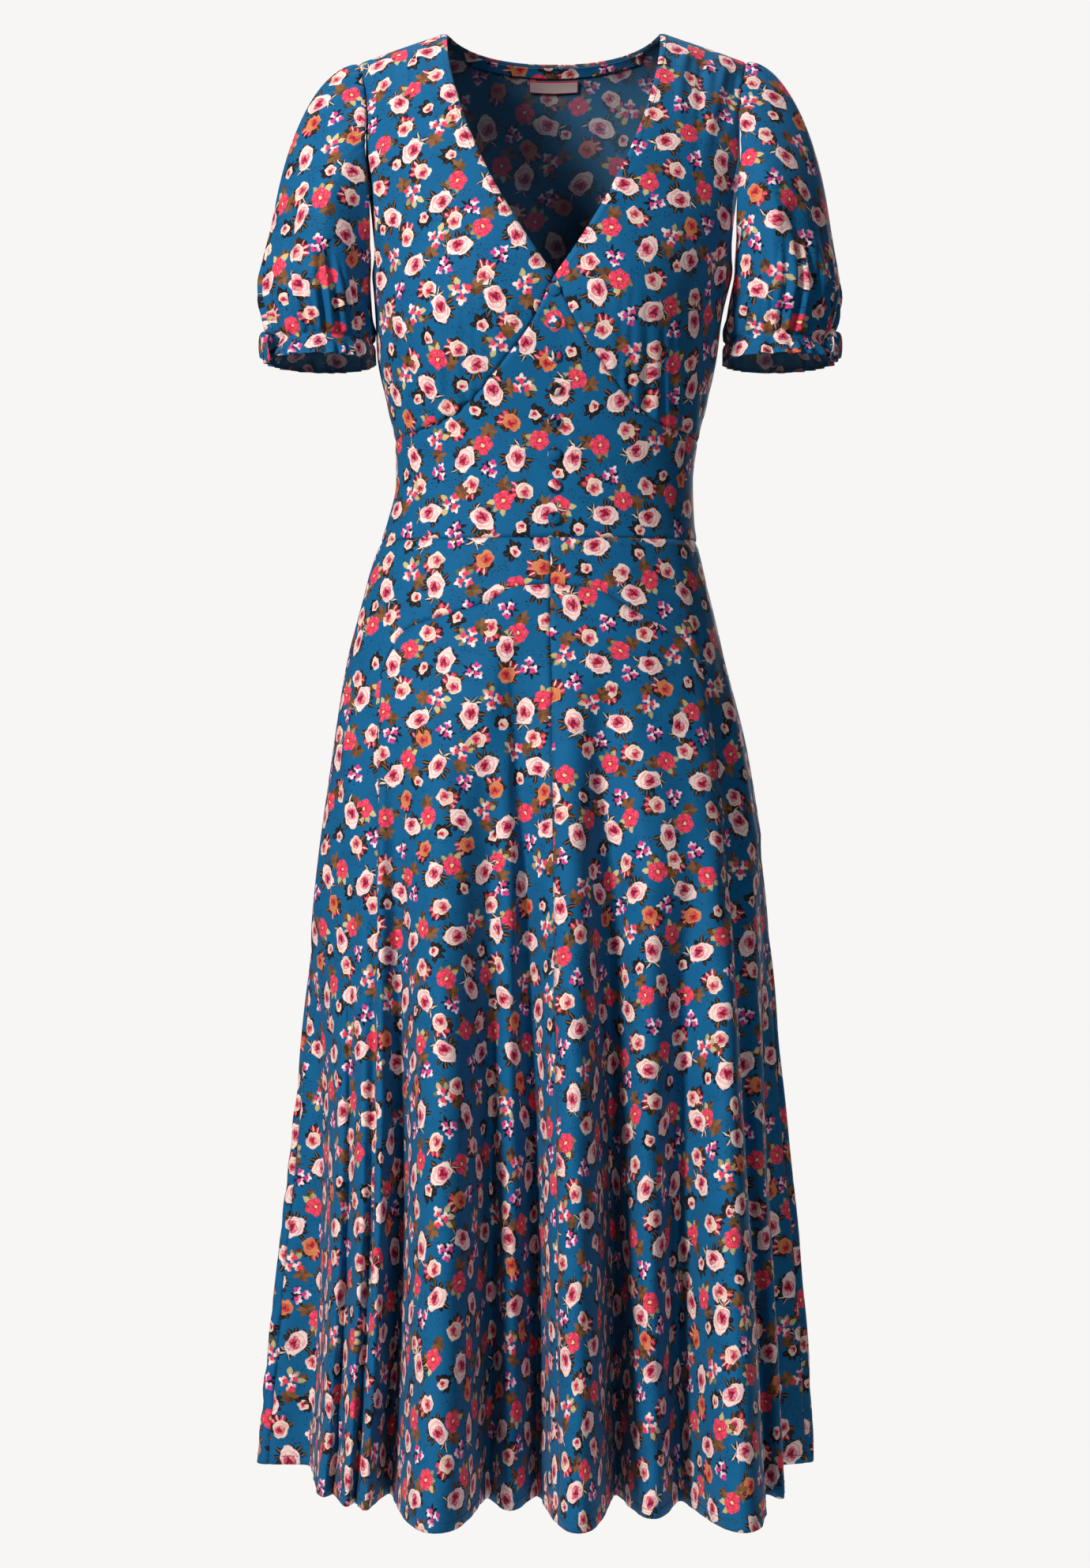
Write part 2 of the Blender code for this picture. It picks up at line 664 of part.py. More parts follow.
def laid_inside(points, rows, columns):
    """A strip laid against the inside of a panel, from the panel's own facets."""
    laid = np.array([[on_panel(points, row, column) for column in columns] for row in rows])
    along = np.gradient(laid, axis=1)
    fall = np.gradient(laid, axis=0)
    inwards = np.cross(along, fall)
    inwards /= np.linalg.norm(inwards, axis=-1, keepdims=True)
    middle = inwards[0, len(columns) // 2]
    return laid + inwards * (CLOTH + LAID) * -np.sign(middle[1])


def build_neck(back):
    """The facing and the label, both laid against the inside of the back."""
    middle = BACK_COLUMNS
    half = BACK_COLUMNS / 2 - 0.6
    columns = middle + np.linspace(-half, half, 15)
    sheet("neck_facing", laid_inside(back, (0.08, 0.24, 0.40), columns), "printed_cloth")
    step = np.linalg.norm(back[1, middle + 1] - back[1, middle])
    reach = LABEL_WIDTH / 2 / step
    rows = [
        float(np.interp(-height, -back[:, middle, 2], np.arange(len(back))))
        for height in (LABEL_TOP, LABEL_TOP - LABEL_DROP)
    ]
    label = laid_inside(back, rows, middle + np.linspace(-reach, reach, 5))
    sheet("neck_label", label, "label_tape")


def button_mesh():
    """A covered button: a shallow dome that turns under to a flat back."""
    steps = 4
    profile = [
        (BUTTON_RADIUS * math.sin(a), BUTTON_DOME * (0.25 + 0.75 * math.cos(a)))
        for a in np.linspace(0, math.pi / 2, steps)
    ]
    profile += [(BUTTON_RADIUS * 0.8, 0.0), (0.0, 0.0)]
    mesh = bpy.data.meshes.new("covered_button")
    model = bmesh.new()
    corners = [model.verts.new((r, 0, z)) for r, z in profile]
    edges = [model.edges.new(pair) for pair in zip(corners, corners[1:])]
    bmesh.ops.spin(
        model,
        geom=corners + edges,
        axis=(0, 0, 1),
        cent=(0, 0, 0),
        angle=2 * math.pi,
        steps=10,
        use_merge=True,
    )
    bmesh.ops.remove_doubles(model, verts=model.verts, dist=1e-6)
    bmesh.ops.recalc_face_normals(model, faces=model.faces)
    model.to_mesh(mesh)
    model.free()
    mesh.shade_smooth()
    return mesh


def build_buttons(front):
    """The buttons lie on the midriff's centre column, clear of the cloth that rises beside it."""
    shape = button_mesh()
    centre = front[:, FRONT_COLUMNS]
    for number in range(BUTTONS):
        height = BUTTON_TOP - BUTTON_PITCH * number
        below = int(np.searchsorted(-centre[:, 2], -height))
        fall = Vector(centre[below] - centre[below - 1])
        place = Vector(centre[below]) + fall * ((height - centre[below][2]) / fall.z)
        out = fall.cross(Vector((1, 0, 0))).normalized()
        rise = 0.0
        for beside in (front[:, FRONT_COLUMNS - 1], front[:, FRONT_COLUMNS + 1]):
            at = Vector(beside[int(np.argmin(np.abs(beside[:, 2] - height)))]) - place
            level = at - at.project(fall)
            rise = max(rise, level.dot(out) / abs(level.x) * BUTTON_RADIUS)
        place += out * (CLOTH / 2 + LAID + rise)
        made = bpy.data.objects.new(f"button_{number + 1}", shape.copy())
        made.matrix_world = Matrix.Translation(place) @ out.to_track_quat("Z", "Y").to_matrix().to_4x4()
        finished(made, "button_cloth")


for old in list(bpy.data.objects):
    bpy.data.objects.remove(old, do_unlink=True)
dress = bpy.data.collections.new("tea_dress")
bpy.context.scene.collection.children.link(dress)

back_panel = build_bodice()
front_midriff = build_midriff()
build_skirt()
for side, name in ((1, "left"), (-1, "right")):
    build_sleeve(side, "sleeve_" + name)
    build_tie(side, "sleeve_tie_" + name)
build_neck(back_panel)
build_buttons(front_midriff)
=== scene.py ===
import functools
import math

import bmesh
import bpy
import numpy as np
from mathutils import Matrix, Vector


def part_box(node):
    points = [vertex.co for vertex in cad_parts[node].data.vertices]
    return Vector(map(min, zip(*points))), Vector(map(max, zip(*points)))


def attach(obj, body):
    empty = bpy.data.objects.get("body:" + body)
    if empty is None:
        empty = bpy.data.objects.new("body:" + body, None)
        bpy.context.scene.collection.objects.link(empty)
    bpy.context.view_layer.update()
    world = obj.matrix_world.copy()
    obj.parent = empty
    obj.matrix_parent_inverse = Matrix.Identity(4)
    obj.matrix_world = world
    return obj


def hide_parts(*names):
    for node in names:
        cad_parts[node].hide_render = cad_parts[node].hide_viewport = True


# A midi tea dress in printed viscose, filled out as if worn.
# Metres, +Z up, front towards -Y. Left and right are the wearer's, so left is +X.

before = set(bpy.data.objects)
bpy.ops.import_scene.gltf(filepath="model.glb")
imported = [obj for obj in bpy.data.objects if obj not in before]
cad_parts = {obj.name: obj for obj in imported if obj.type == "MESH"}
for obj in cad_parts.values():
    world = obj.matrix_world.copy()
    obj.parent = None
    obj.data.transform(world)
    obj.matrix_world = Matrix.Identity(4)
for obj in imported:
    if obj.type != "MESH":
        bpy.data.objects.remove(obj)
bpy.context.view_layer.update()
print("frame loaded:", len(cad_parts), "nodes")


def inScene(name, data):
    made = bpy.data.objects.new(name, data)
    bpy.context.scene.collection.objects.link(made)
    return made


studio = {
    "cameraPlace": (-0.0045, -2.5, -0.618),
    "lens": 69.72,
    "floorHeight": -1.60,
    "floorRadius": 1.25,
    "backdrop": 1.0,  # how bright the pale room looks
    "ambient": 0.05,  # how much light it gives
}

cameraData = bpy.data.cameras.new("camera")
cameraData.lens = studio["lens"]
cameraData.sensor_width = 36
camera = inScene("camera", cameraData)
camera.location = studio["cameraPlace"]
camera.rotation_euler = (math.pi / 2, 0, 0)
bpy.context.scene.camera = camera
bpy.context.scene.view_settings.view_transform = "Standard"


form = {
    "neck": 0.087,  # half the width between the neck points
    "slope": 0.33,
    "slopeFade": 0.16,  # how far down the shoulder slope carries
    "vDepth": 0.2178,
    "vBow": 1.8,
    "backNeck": 0.0125,
    "underarm": -0.205,
    "midriffSide": -0.337,
    "waist": -0.4185,
    "waistDip": 0.004,
    "waistFront": 0.0945,
    "hip": -0.50,
    "yokeEnd": -0.5305,
    "hem": -1.18,
    "centre": 0.003,  # centre front lies this far to the left
    "bustAcross": 0.075,
    "bustHeight": -0.235,
    "bustSwell": 0.013,
    "bustSpread": 0.055,
}

# half widths right and left, depths front and back, and how square the section is
sections = (
    ("height", "right", "left", "front", "back", "square"),
    (0.000, 0.1700, 0.1680, 0.0006, 0.0006, 2.0),
    (-0.003, 0.1700, 0.1680, 0.0150, 0.0260, 2.0),
    (-0.008, 0.1700, 0.1680, 0.0270, 0.0450, 2.0),
    (-0.015, 0.1700, 0.1680, 0.0380, 0.0580, 2.0),
    (-0.030, 0.1705, 0.1685, 0.0530, 0.0740, 2.0),
    (-0.060, 0.1710, 0.1690, 0.0730, 0.0900, 2.1),
    (-0.100, 0.1700, 0.1680, 0.0900, 0.1010, 2.2),
    (-0.150, 0.1600, 0.1580, 0.1040, 0.1060, 2.2),
    (-0.200, 0.1490, 0.1460, 0.1130, 0.1030, 2.2),
    (-0.235, 0.1465, 0.1375, 0.1150, 0.0980, 2.2),
    (-0.267, 0.1450, 0.1335, 0.1120, 0.0930, 2.2),
    (-0.304, 0.1375, 0.1257, 0.1040, 0.0860, 2.2),
    (-0.343, 0.1300, 0.1168, 0.0970, 0.0810, 2.2),
    (-0.370, 0.1295, 0.1138, 0.0945, 0.0800, 2.2),
    (-0.402, 0.1363, 0.1148, 0.0945, 0.0850, 2.2),
    (-0.441, 0.1505, 0.1228, 0.0985, 0.0970, 2.2),
    (-0.480, 0.1610, 0.1320, 0.1045, 0.1110, 2.2),
    (-0.519, 0.1705, 0.1410, 0.1125, 0.1240, 2.2),
    (-0.597, 0.1825, 0.1595, 0.1280, 0.1410, 2.2),
    (-0.753, 0.2005, 0.1805, 0.1580, 0.1690, 2.3),
    (-0.909, 0.2160, 0.1960, 0.1870, 0.1960, 2.4),
    (-1.065, 0.2335, 0.2125, 0.2140, 0.2190, 2.5),
    (-1.180, 0.2445, 0.2190, 0.2320, 0.2360, 2.6),
)

armholeRows = (
    ("share", "frontTurn", "backTurn", "height"),
    (0.00, 71.0, 71.0, 0.000),
    (0.16, 65.0, 67.5, -0.030),
    (0.36, 60.5, 65.5, -0.072),
    (0.56, 60.0, 66.0, -0.112),
    (0.75, 64.0, 70.0, -0.152),
    (0.90, 74.0, 78.0, -0.188),
    (1.00, 90.0, 90.0, form["underarm"]),
)
armholeShare = 10 / 14  # how much of a bodice panel's outer edge is armhole

underBustRows = (
    ("across", "height"),
    (0.000, -form["vDepth"]),
    (0.020, -0.260),
    (0.045, -0.291),
    (0.066, -0.313),
    (0.088, -0.327),
    (0.108, -0.333),
    (0.140, form["midriffSide"]),
)

yokeRows = (
    ("share", "height"),
    (0.00, -0.4595),
    (0.30, -0.4650),
    (0.53, -0.4790),
    (0.72, -0.4910),
    (0.84, -0.5010),
    (1.00, form["yokeEnd"]),
)

# each fold's crest and trough: the turn at the hips, the place at the hem, where it starts, its breadth
foldColumns = ("crestTurn", "crestX", "crestY", "troughTurn", "troughX", "troughY", "start", "round")
foldRows = (
    (-96.0, -0.2430, 0.020, -78.0, -0.199, 0.004, -0.72, 2.3),
    (-70.0, -0.1830, -0.100, -64.0, -0.172, -0.096, -0.60, 1.3),
    (-58.0, -0.1600, -0.138, -53.0, -0.153, -0.124, form["yokeEnd"], 1.1),
    (-48.5, -0.1430, -0.150, -42.0, -0.127, -0.096, -0.58, 1.1),
    (-29.0, -0.0880, -0.224, -17.5, -0.051, -0.112, -0.56, 2.1),
    (-13.5, -0.0310, -0.152, -10.0, -0.010, -0.104, -0.50, 1.4),
    (4.0, 0.0210, -0.224, 14.5, 0.051, -0.100, -0.54, 2.0),
    (24.0, 0.0770, -0.178, 34.0, 0.102, -0.120, -0.70, 1.7),
    (48.0, 0.1470, -0.222, 57.0, 0.169, -0.100, form["yokeEnd"], 2.0),
    (66.0, 0.1840, -0.106, 76.0, 0.186, 0.000, -0.66, 1.3),
    (98.0, 0.2190, 0.030, 108.0, 0.182, 0.068, -0.70, 2.3),
    (116.0, 0.2040, 0.112, 124.0, 0.162, 0.112, -0.62, 2.0),
    (135.0, 0.1560, 0.192, 145.0, 0.110, 0.130, -0.58, 2.0),
    (157.0, 0.0800, 0.229, 168.0, 0.037, 0.136, -0.66, 2.0),
    (176.0, -0.0050, 0.234, 188.0, -0.046, 0.138, -0.56, 2.0),
    (202.0, -0.0900, 0.226, 214.0, -0.121, 0.132, -0.64, 2.0),
    (226.0, -0.1680, 0.188, 238.0, -0.170, 0.112, -0.57, 1.9),
    (247.0, -0.2200, 0.104, 256.0, -0.196, 0.066, -0.68, 1.9),
)
troughRound = 0.6

# where the skirt's panels join, as a count of crests and troughs from the right side seam
seams = {
    "rightSide": 1 / 3,
    "rightFold": 5 + 1 / 3,
    "centreFront": 12 - 1 / 3,
    "leftFold": 17 - 1 / 3,
    "leftSide": 20 - 1 / 3,
    "centreBack": 28 + 1 / 3,
    "allRound": 2 * len(foldRows),
}


def hermite(t, start, end, leave, arrive):
    return (
        start * (1 + 2 * t) * (1 - t) ** 2 + end * t**2 * (3 - 2 * t)
        + leave * t * (1 - t) ** 2 - arrive * t**2 * (1 - t)
    )


def smooth(table, name, at):
    # one column of a table, on a curve that never overshoots its rows
    columns, *rows = table
    x, y = (np.array(sorted(rows))[:, columns.index(column)] for column in (columns[0], name))
    step = np.diff(x)
    slope = np.diff(y) / step
    bend = slope[1:] * slope[:-1]
    tangent = np.concatenate([slope[:1], np.zeros(len(bend)), slope[-1:]])
    rising = bend > 0
    tangent[1:-1][rising] = 2 * bend[rising] / (slope[1:] + slope[:-1])[rising]
    at = np.clip(at, x[0], x[-1])
    i = np.clip(np.searchsorted(x, at) - 1, 0, len(x) - 2)
    t = (at - x[i]) / step[i]
    return hermite(t, y[i], y[i + 1], step[i] * tangent[i], step[i] * tangent[i + 1])


def ease(t):
    t = np.clip(t, 0, 1)
    return t * t * (3 - 2 * t)


def section(height, turn):
    right, left, front, back, square = (smooth(sections, name, height) for name in sections[0][1:])
    return np.where(np.sin(turn) < 0, right, left), np.where(np.cos(turn) > 0, front, back), square


def rim(height, turn):
    wide, deep, square = section(height, turn)
    across, out = np.sin(turn), np.cos(turn)
    reach = (np.abs(across) ** square + np.abs(out) ** square) ** (-1 / square)
    return wide * reach * across, -deep * reach * out


def onForm(turn, height):
    # turn 0 is centre front, and positive turns go to the wearer's left
    turn, height = np.asarray(turn, float), np.asarray(height, float)
    x, y = rim(height, turn)
    nearBust = np.exp(-(((np.abs(x) - form["bustAcross"]) / form["bustSpread"]) ** 2))
    nearBust = nearBust * np.exp(-(((height - form["bustHeight"]) / form["bustSpread"]) ** 2))
    y = y - form["bustSwell"] * nearBust * np.clip(np.cos(turn), 0, 1)
    fall = form["slope"] * np.clip(np.abs(x) - form["neck"], 0, None) * ease(1 + height / form["slopeFade"])
    return np.stack([x + form["centre"], y, height - fall], axis=-1)


def turnAt(across, height):
    wide, _, square = section(height, np.full_like(height, 0.1))
    q = np.clip(across / wide, 0, 1)
    return np.arctan2(q, (1 - q**square) ** (1 / square))


def foldPlaces():
    made = []
    for row in foldRows:
        fold = dict(zip(foldColumns, row))
        for end in ("crest", "trough"):
            turn = math.radians(fold[end + "Turn"])
            x, y = fold[end + "X"] - form["centre"], fold[end + "Y"]
            wide, deep, square = (float(v) for v in section(form["hem"], np.array(turn)))
            hemTurn = math.atan2(x / wide, -y / deep)
            hemTurn += 2 * math.pi * round((turn - hemTurn) / (2 * math.pi))
            reach = (abs(x / wide) ** square + abs(y / deep) ** square) ** (1 / square)
            broad = fold["round"] if end == "crest" else troughRound
            made.append((turn, hemTurn, reach, fold["start"], broad))
    return np.array(made)


folds = foldPlaces()


def foldAt(number, height):
    turn, hemTurn, reach, start, broad = np.moveaxis(folds[number % len(folds)], -1, 0)
    turn = turn + (hemTurn - turn) * ease((form["hip"] - height) / (form["hip"] - form["hem"])) ** 0.8
    grown = np.sin(np.clip((start - height) / (start - form["hem"]), 0, 1) * math.pi / 2) ** 0.8
    x, y = rim(height, turn)
    reach = 1 + (reach - 1) * grown
    return np.stack([x * reach + form["centre"], y * reach], axis=-1), 1 + (broad - 1) * grown


def onSkirt(place, height):
    # place counts crests and troughs round from the right side seam
    place, height = np.broadcast_arrays(np.asarray(place, float), np.asarray(height, float))
    first = np.floor(place + 1e-9).astype(int)
    t = (place - first)[..., None]
    near = [foldAt(first + k, height) for k in (-1, 0, 1, 2)]
    before, start, end, after = (p for p, _ in near)
    leave = (end - before) / 2 * near[1][1][..., None]
    arrive = (after - start) / 2 * near[2][1][..., None]
    plan = hermite(t, start, end, leave, arrive)
    return np.concatenate([plan, height[..., None]], axis=-1)


def patch(top, bottom, inner, outer, across, down):
    # turns and heights between four edges
    u, v = np.asarray(across)[None, :, None], np.asarray(down)[:, None, None]
    sides = (1 - u) * inner(down)[:, None] + u * outer(down)[:, None]
    ends = (1 - v) * top(across)[None] + v * bottom(across)[None]
    corners = (1 - v) * ((1 - u) * inner(0.0) + u * outer(0.0))
    corners = corners + v * ((1 - u) * inner(1.0) + u * outer(1.0))
    both = sides + ends - corners
    return both[..., 0], both[..., 1]


def pairs(turn, height):
    return np.stack(np.broadcast_arrays(turn, height), axis=-1)


def neckline(share):
    share = np.asarray(share, float) ** 1.25
    height = -form["vDepth"] * share
    return pairs(turnAt(form["neck"] * (1 - share ** form["vBow"]), height), height)


def shoulderSeam(share):
    near, far = turnAt(form["neck"], np.zeros(1))[0], math.radians(armholeRows[1][1])
    return pairs(near + (far - near) * np.asarray(share, float), 0.0)


def armhole(share, face):
    turn = smooth(armholeRows, face + "Turn", share)
    return pairs(np.radians(turn), smooth(armholeRows, "height", share))


def armholeAndSide(face):
    def edge(share):
        share = np.asarray(share, float)
        down = np.clip((share - armholeShare) / (1 - armholeShare), 0, 1)
        above = armhole(np.clip(share / armholeShare, 0, 1), face)
        side = pairs(math.pi / 2, form["underarm"] + (form["midriffSide"] - form["underarm"]) * down)
        return np.where((down > 0)[..., None], side, above)

    return edge


def underBust(share):
    turn = np.asarray(share, float) * math.pi / 2
    return pairs(turn, smooth(underBustRows, "height", underBustRows[-1][0] * np.sin(turn)))


def backNeckEdge(share):
    share = np.asarray(share, float)
    return pairs(share * turnAt(form["neck"], np.zeros(1))[0], -form["backNeck"] * (1 - share**2.4))


def backTop(share):
    share = np.asarray(share, float)
    neck = backNeckEdge(np.clip(share / 0.5, 0, 1))
    seam = shoulderSeam(np.clip((share - 0.5) / 0.5, 0, 1))
    return np.where((share <= 0.5)[..., None], neck, seam)


def waistHeight(y):
    return form["waist"] - form["waistDip"] * np.clip(-y / form["waistFront"], 0, 1)


def linear(code):
    # an sRGB hex code as the linear colour Blender works in
    parts = [int(code[k : k + 2], 16) / 255 for k in (1, 3, 5)]
    return (*[p / 12.92 if p <= 0.04045 else ((p + 0.055) / 1.055) ** 2.4 for p in parts], 1.0)


# what the word after a node's kind sets
nodeChoices = {
    "Math": "operation", "VectorMath": "operation", "MapRange": "interpolation_type",
    "Mix": "data_type", "TexWhiteNoise": "noise_dimensions", "VectorRotate": "rotation_type",
}


def addNode(tree, kind, *values, out=0, **settings):
    # adds a node, sets it up, and gives back one of its outputs; a dictionary's values go to named sockets
    kind, _, choice = kind.partition(" ")
    prefix = "" if kind.startswith(("GeometryNode", "FunctionNode")) else "ShaderNode"
    node = tree.nodes.new(prefix + kind)
    if choice:
        settings[nodeChoices[kind]] = choice
    for name, value in settings.items():
        setattr(node, name, value)
    # a colour mix has its own sockets further down the list
    spots, out = ((0, 6, 7), 2) if choice == "RGBA" else (range(9), out)
    sockets = {}
    for spot, value in zip(spots, values):
        sockets.update(value if isinstance(value, dict) else {spot: value})
    for key, value in sockets.items():
        if isinstance(value, bpy.types.NodeSocket):
            tree.links.new(value, node.inputs[key])
        else:
            isCode = isinstance(value, str) and value.startswith("#")
            node.inputs[key].default_value = linear(value) if isCode else value
    return node.outputs[out]


def newGroup(name, gives=None, **takes):
    # a node group: what adds to it, what it is given, and what finishes it
    tree = bpy.data.node_groups.new(name, "ShaderNodeTree")
    gives = gives or {"Color": "Color", "Cover": "Float"}
    for way, sockets in (("INPUT", takes), ("OUTPUT", gives)):
        for socket, kind in sockets.items():
            tree.interface.new_socket(socket, in_out=way, socket_type="NodeSocket" + kind)
    entry, end = (tree.nodes.new("NodeGroup" + way) for way in ("Input", "Output"))

    def finished(**results):
        for socket, value in results.items():
            tree.links.new(value, end.inputs[socket])
        return tree

    return functools.partial(addNode, tree), entry.outputs, finished


def paintedPlace(add, place, wobble, scale):
    # the place with a hand-painted wobble, and its angle and distance
    noise = add("TexNoise", {"Vector": place, "Scale": scale, "Detail": 1.0}, out=1)
    shift = add("VectorMath SUBTRACT", noise, (0.5, 0.5, 0.5))
    place = add("VectorMath MULTIPLY_ADD", shift, (wobble,) * 3, place)
    place = add("VectorMath MULTIPLY", place, (1, 1, 0))
    apart = add("SeparateXYZ", place).node.outputs
    angle = add("Math ARCTAN2", apart[1], apart[0])
    reach = add("VectorMath LENGTH", place, out=1)
    return place, angle, reach


def fromNearest(add, angle, count):
    # the number of the nearest of some even rays, and the share of a full turn that lies between
    turns = add("Math MULTIPLY", add("Math MULTIPLY", angle, 1 / (2 * math.pi)), count)
    number = add("Math ROUND", turns)
    return number, add("Math DIVIDE", add("Math SUBTRACT", turns, number), count)


def roseGroup():
    # a full rose seen from above: a dark heart, petal edges in a spiral, and a pale rim
    add, given, finished = newGroup(
        "painted rose", Place="Vector", Size="Float", Rim="Color", Petal="Color", Heart="Color"
    )
    place, angle, reach = paintedPlace(add, given["Place"], 3.4, 0.22)
    five = add("Math COSINE", add("Math MULTIPLY_ADD", angle, 5.0, 1.0))
    two = add("Math COSINE", add("Math MULTIPLY_ADD", angle, 2.0, 0.6))
    edge = add("Math MULTIPLY_ADD", two, 0.10, add("Math MULTIPLY_ADD", five, 0.06, 1.0))
    edge = add("Math MULTIPLY", edge, given["Size"])
    share = add("Math DIVIDE", reach, edge)
    cover = add("MapRange SMOOTHSTEP", share, 1.04, 0.97)

    offset = add("VectorMath SCALE", (0.12, -0.16, 0), {3: given["Size"]})
    heartPlace = add("VectorMath ADD", place, offset)
    apart = add("SeparateXYZ", heartPlace).node.outputs
    turn = add("Math ARCTAN2", apart[1], apart[0])
    depth = add("Math DIVIDE", add("VectorMath LENGTH", heartPlace, out=1), given["Size"])
    scallop = add("Math MULTIPLY", add("Math MULTIPLY_ADD", depth, 4.0, turn), 1.5)
    scallop = add("Math ABSOLUTE", add("Math SINE", scallop))
    wind = add("Math MULTIPLY_ADD", depth, 2.5, add("Math MULTIPLY", turn, 1 / (2 * math.pi)))
    wind = add("Math FRACT", add("Math MULTIPLY_ADD", scallop, -0.38, wind))
    line = add("MapRange SMOOTHSTEP", wind, 0.50, 0.97)
    fade = add("MapRange", depth, 1.15, 0.50, 0.24, 1.0)
    line = add("Math MULTIPLY", line, fade)
    brush = add("TexNoise", {"Vector": place, "Scale": 0.40, "Detail": 1.0})
    uneven = add("Math MULTIPLY_ADD", brush, 0.9, -0.45)
    worn = add("Math ADD", depth, uneven)
    flush = add("MapRange SMOOTHSTEP", worn, 0.78, 0.30)
    line = add("Math MAXIMUM", line, flush)
    color = add("Mix RGBA", line, given["Rim"], given["Petal"])
    inner = add("MapRange SMOOTHSTEP", worn, 0.36, 0.20)
    streak = add("MapRange SMOOTHSTEP", wind, 0.78, 0.95)
    near = add("MapRange", depth, 0.80, 0.50)
    streak = add("Math MULTIPLY", streak, near)
    inner = add("Math MULTIPLY_ADD", streak, 0.75, inner, use_clamp=True)
    color = add("Mix RGBA", inner, color, given["Heart"])
    return finished(Color=color, Cover=cover)


def camelliaGroup():
    # an open flower with five rounded petals and a pale eye
    add, given, finished = newGroup(
        "painted camellia", Place="Vector", Size="Float", Petal="Color", Shade="Color", Eye="Color"
    )
    place, angle, reach = paintedPlace(add, given["Place"], 3.0, 0.25)
    lobe = add("Math COSINE", add("Math MULTIPLY", angle, 2.5))
    lobe = add("Math ABSOLUTE", lobe)
    edge = add("Math MULTIPLY_ADD", add("Math POWER", lobe, 0.5), 0.20, 0.82)
    edge = add("Math MULTIPLY", edge, given["Size"])
    share = add("Math DIVIDE", reach, edge)
    cover = add("MapRange SMOOTHSTEP", share, 1.03, 0.97)
    between = add("Math MULTIPLY", add("MapRange", lobe, 0.42, 0.05), share)
    ring = add("MapRange", share, 0.42, 0.22)
    between = add("Math MAXIMUM", between, ring)
    color = add("Mix RGBA", between, given["Petal"], given["Shade"])
    brush = add("TexNoise", {"Vector": place, "Scale": 0.55, "Detail": 1.0})
    light = add("MapRange", brush, 0.56, 0.72, {4: 0.65})
    color = add("Mix RGBA", light, color, "#f79aa6")
    eye = add("MapRange SMOOTHSTEP", share, 0.22, 0.13)
    color = add("Mix RGBA", eye, color, given["Eye"])
    return finished(Color=color, Cover=cover)


def leavesGroup():
    # a fan of pointed leaves round one stem, each with its own length and colour
    add, given, finished = newGroup(
        "painted leaves", Place="Vector", Seed="Float", Count="Float", Start="Float", Length="Float",
        Width="Float", Sector="Float", Dark="Color", Light="Color", Vein="Color",
    )
    place, angle, reach = paintedPlace(add, given["Place"], 2.4, 0.30)
    number, aside = fromNearest(add, angle, given["Count"])
    aside = add("Math MULTIPLY", add("Math MULTIPLY", aside, reach), 2 * math.pi)
    aside = add("Math ABSOLUTE", aside)
    key = add("Math MULTIPLY_ADD", given["Seed"], 37.0, number)
    chance = add("TexWhiteNoise 1D", {"W": key}).node.outputs
    long = add("Math MULTIPLY", add("MapRange", chance[0], {3: 0.62, 4: 1.0}), given["Length"])
    along = add("Math DIVIDE", add("Math SUBTRACT", reach, given["Start"]), long)
    back = add("Math SUBTRACT", 1.0, along)
    wide = add("Math MULTIPLY", add("Math MULTIPLY", along, back), given["Width"])
    inside = add("Math SUBTRACT", wide, aside)
    cover = add("MapRange SMOOTHSTEP", inside, 0.0, 0.25)
    facing = add("Math ABSOLUTE", add("Math DIVIDE", number, given["Count"]))
    facing = add("Math LESS_THAN", facing, given["Sector"])
    cover = add("Math MULTIPLY", cover, facing)
    color = add("Mix RGBA", chance[0], given["Dark"], given["Light"])
    vein = add("MapRange", add("Math DIVIDE", aside, wide), 0.45, 0.10)
    vein = add("Math MULTIPLY", vein, chance[0])
    color = add("Mix RGBA", vein, color, given["Vein"])
    return finished(Color=color, Cover=cover)


def blossomGroup():
    # a spray of small four-petalled florets round a dark stem
    add, given, finished = newGroup(
        "painted blossom", Place="Vector", Count="Float", Reach="Float", Size="Float",
        Tip="Color", Petal="Color", Eye="Color",
    )
    place, angle, reach = paintedPlace(add, given["Place"], 3.0, 0.20)
    number, aside = fromNearest(add, angle, given["Count"])
    aside = add("Math MULTIPLY", aside, 2 * math.pi)
    over = add("Math MULTIPLY", add("Math COSINE", aside), reach)
    over = add("Math SUBTRACT", over, given["Reach"])
    up = add("Math MULTIPLY", add("Math SINE", aside), reach)
    swing = add("Math MULTIPLY", number, 1.7)
    petalAngle = add("Math ADD", add("Math ARCTAN2", up, over), swing)
    both = add("CombineXYZ", over, up)
    depth = add("VectorMath LENGTH", both, out=1)
    lobe = add("Math COSINE", add("Math MULTIPLY", petalAngle, 2.0))
    lobe = add("Math ABSOLUTE", lobe)
    edge = add("Math MULTIPLY", add("Math MULTIPLY_ADD", lobe, 0.50, 0.50), given["Size"])
    share = add("Math DIVIDE", depth, edge)
    cover = add("MapRange SMOOTHSTEP", share, 1.06, 0.94)
    blush = add("MapRange", add("Math SINE", petalAngle), -0.5, 0.7)
    color = add("Mix RGBA", blush, given["Tip"], given["Petal"])
    eye = add("MapRange", share, 0.30, 0.16)
    color = add("Mix RGBA", eye, color, given["Eye"])
    return finished(Color=color, Cover=cover)


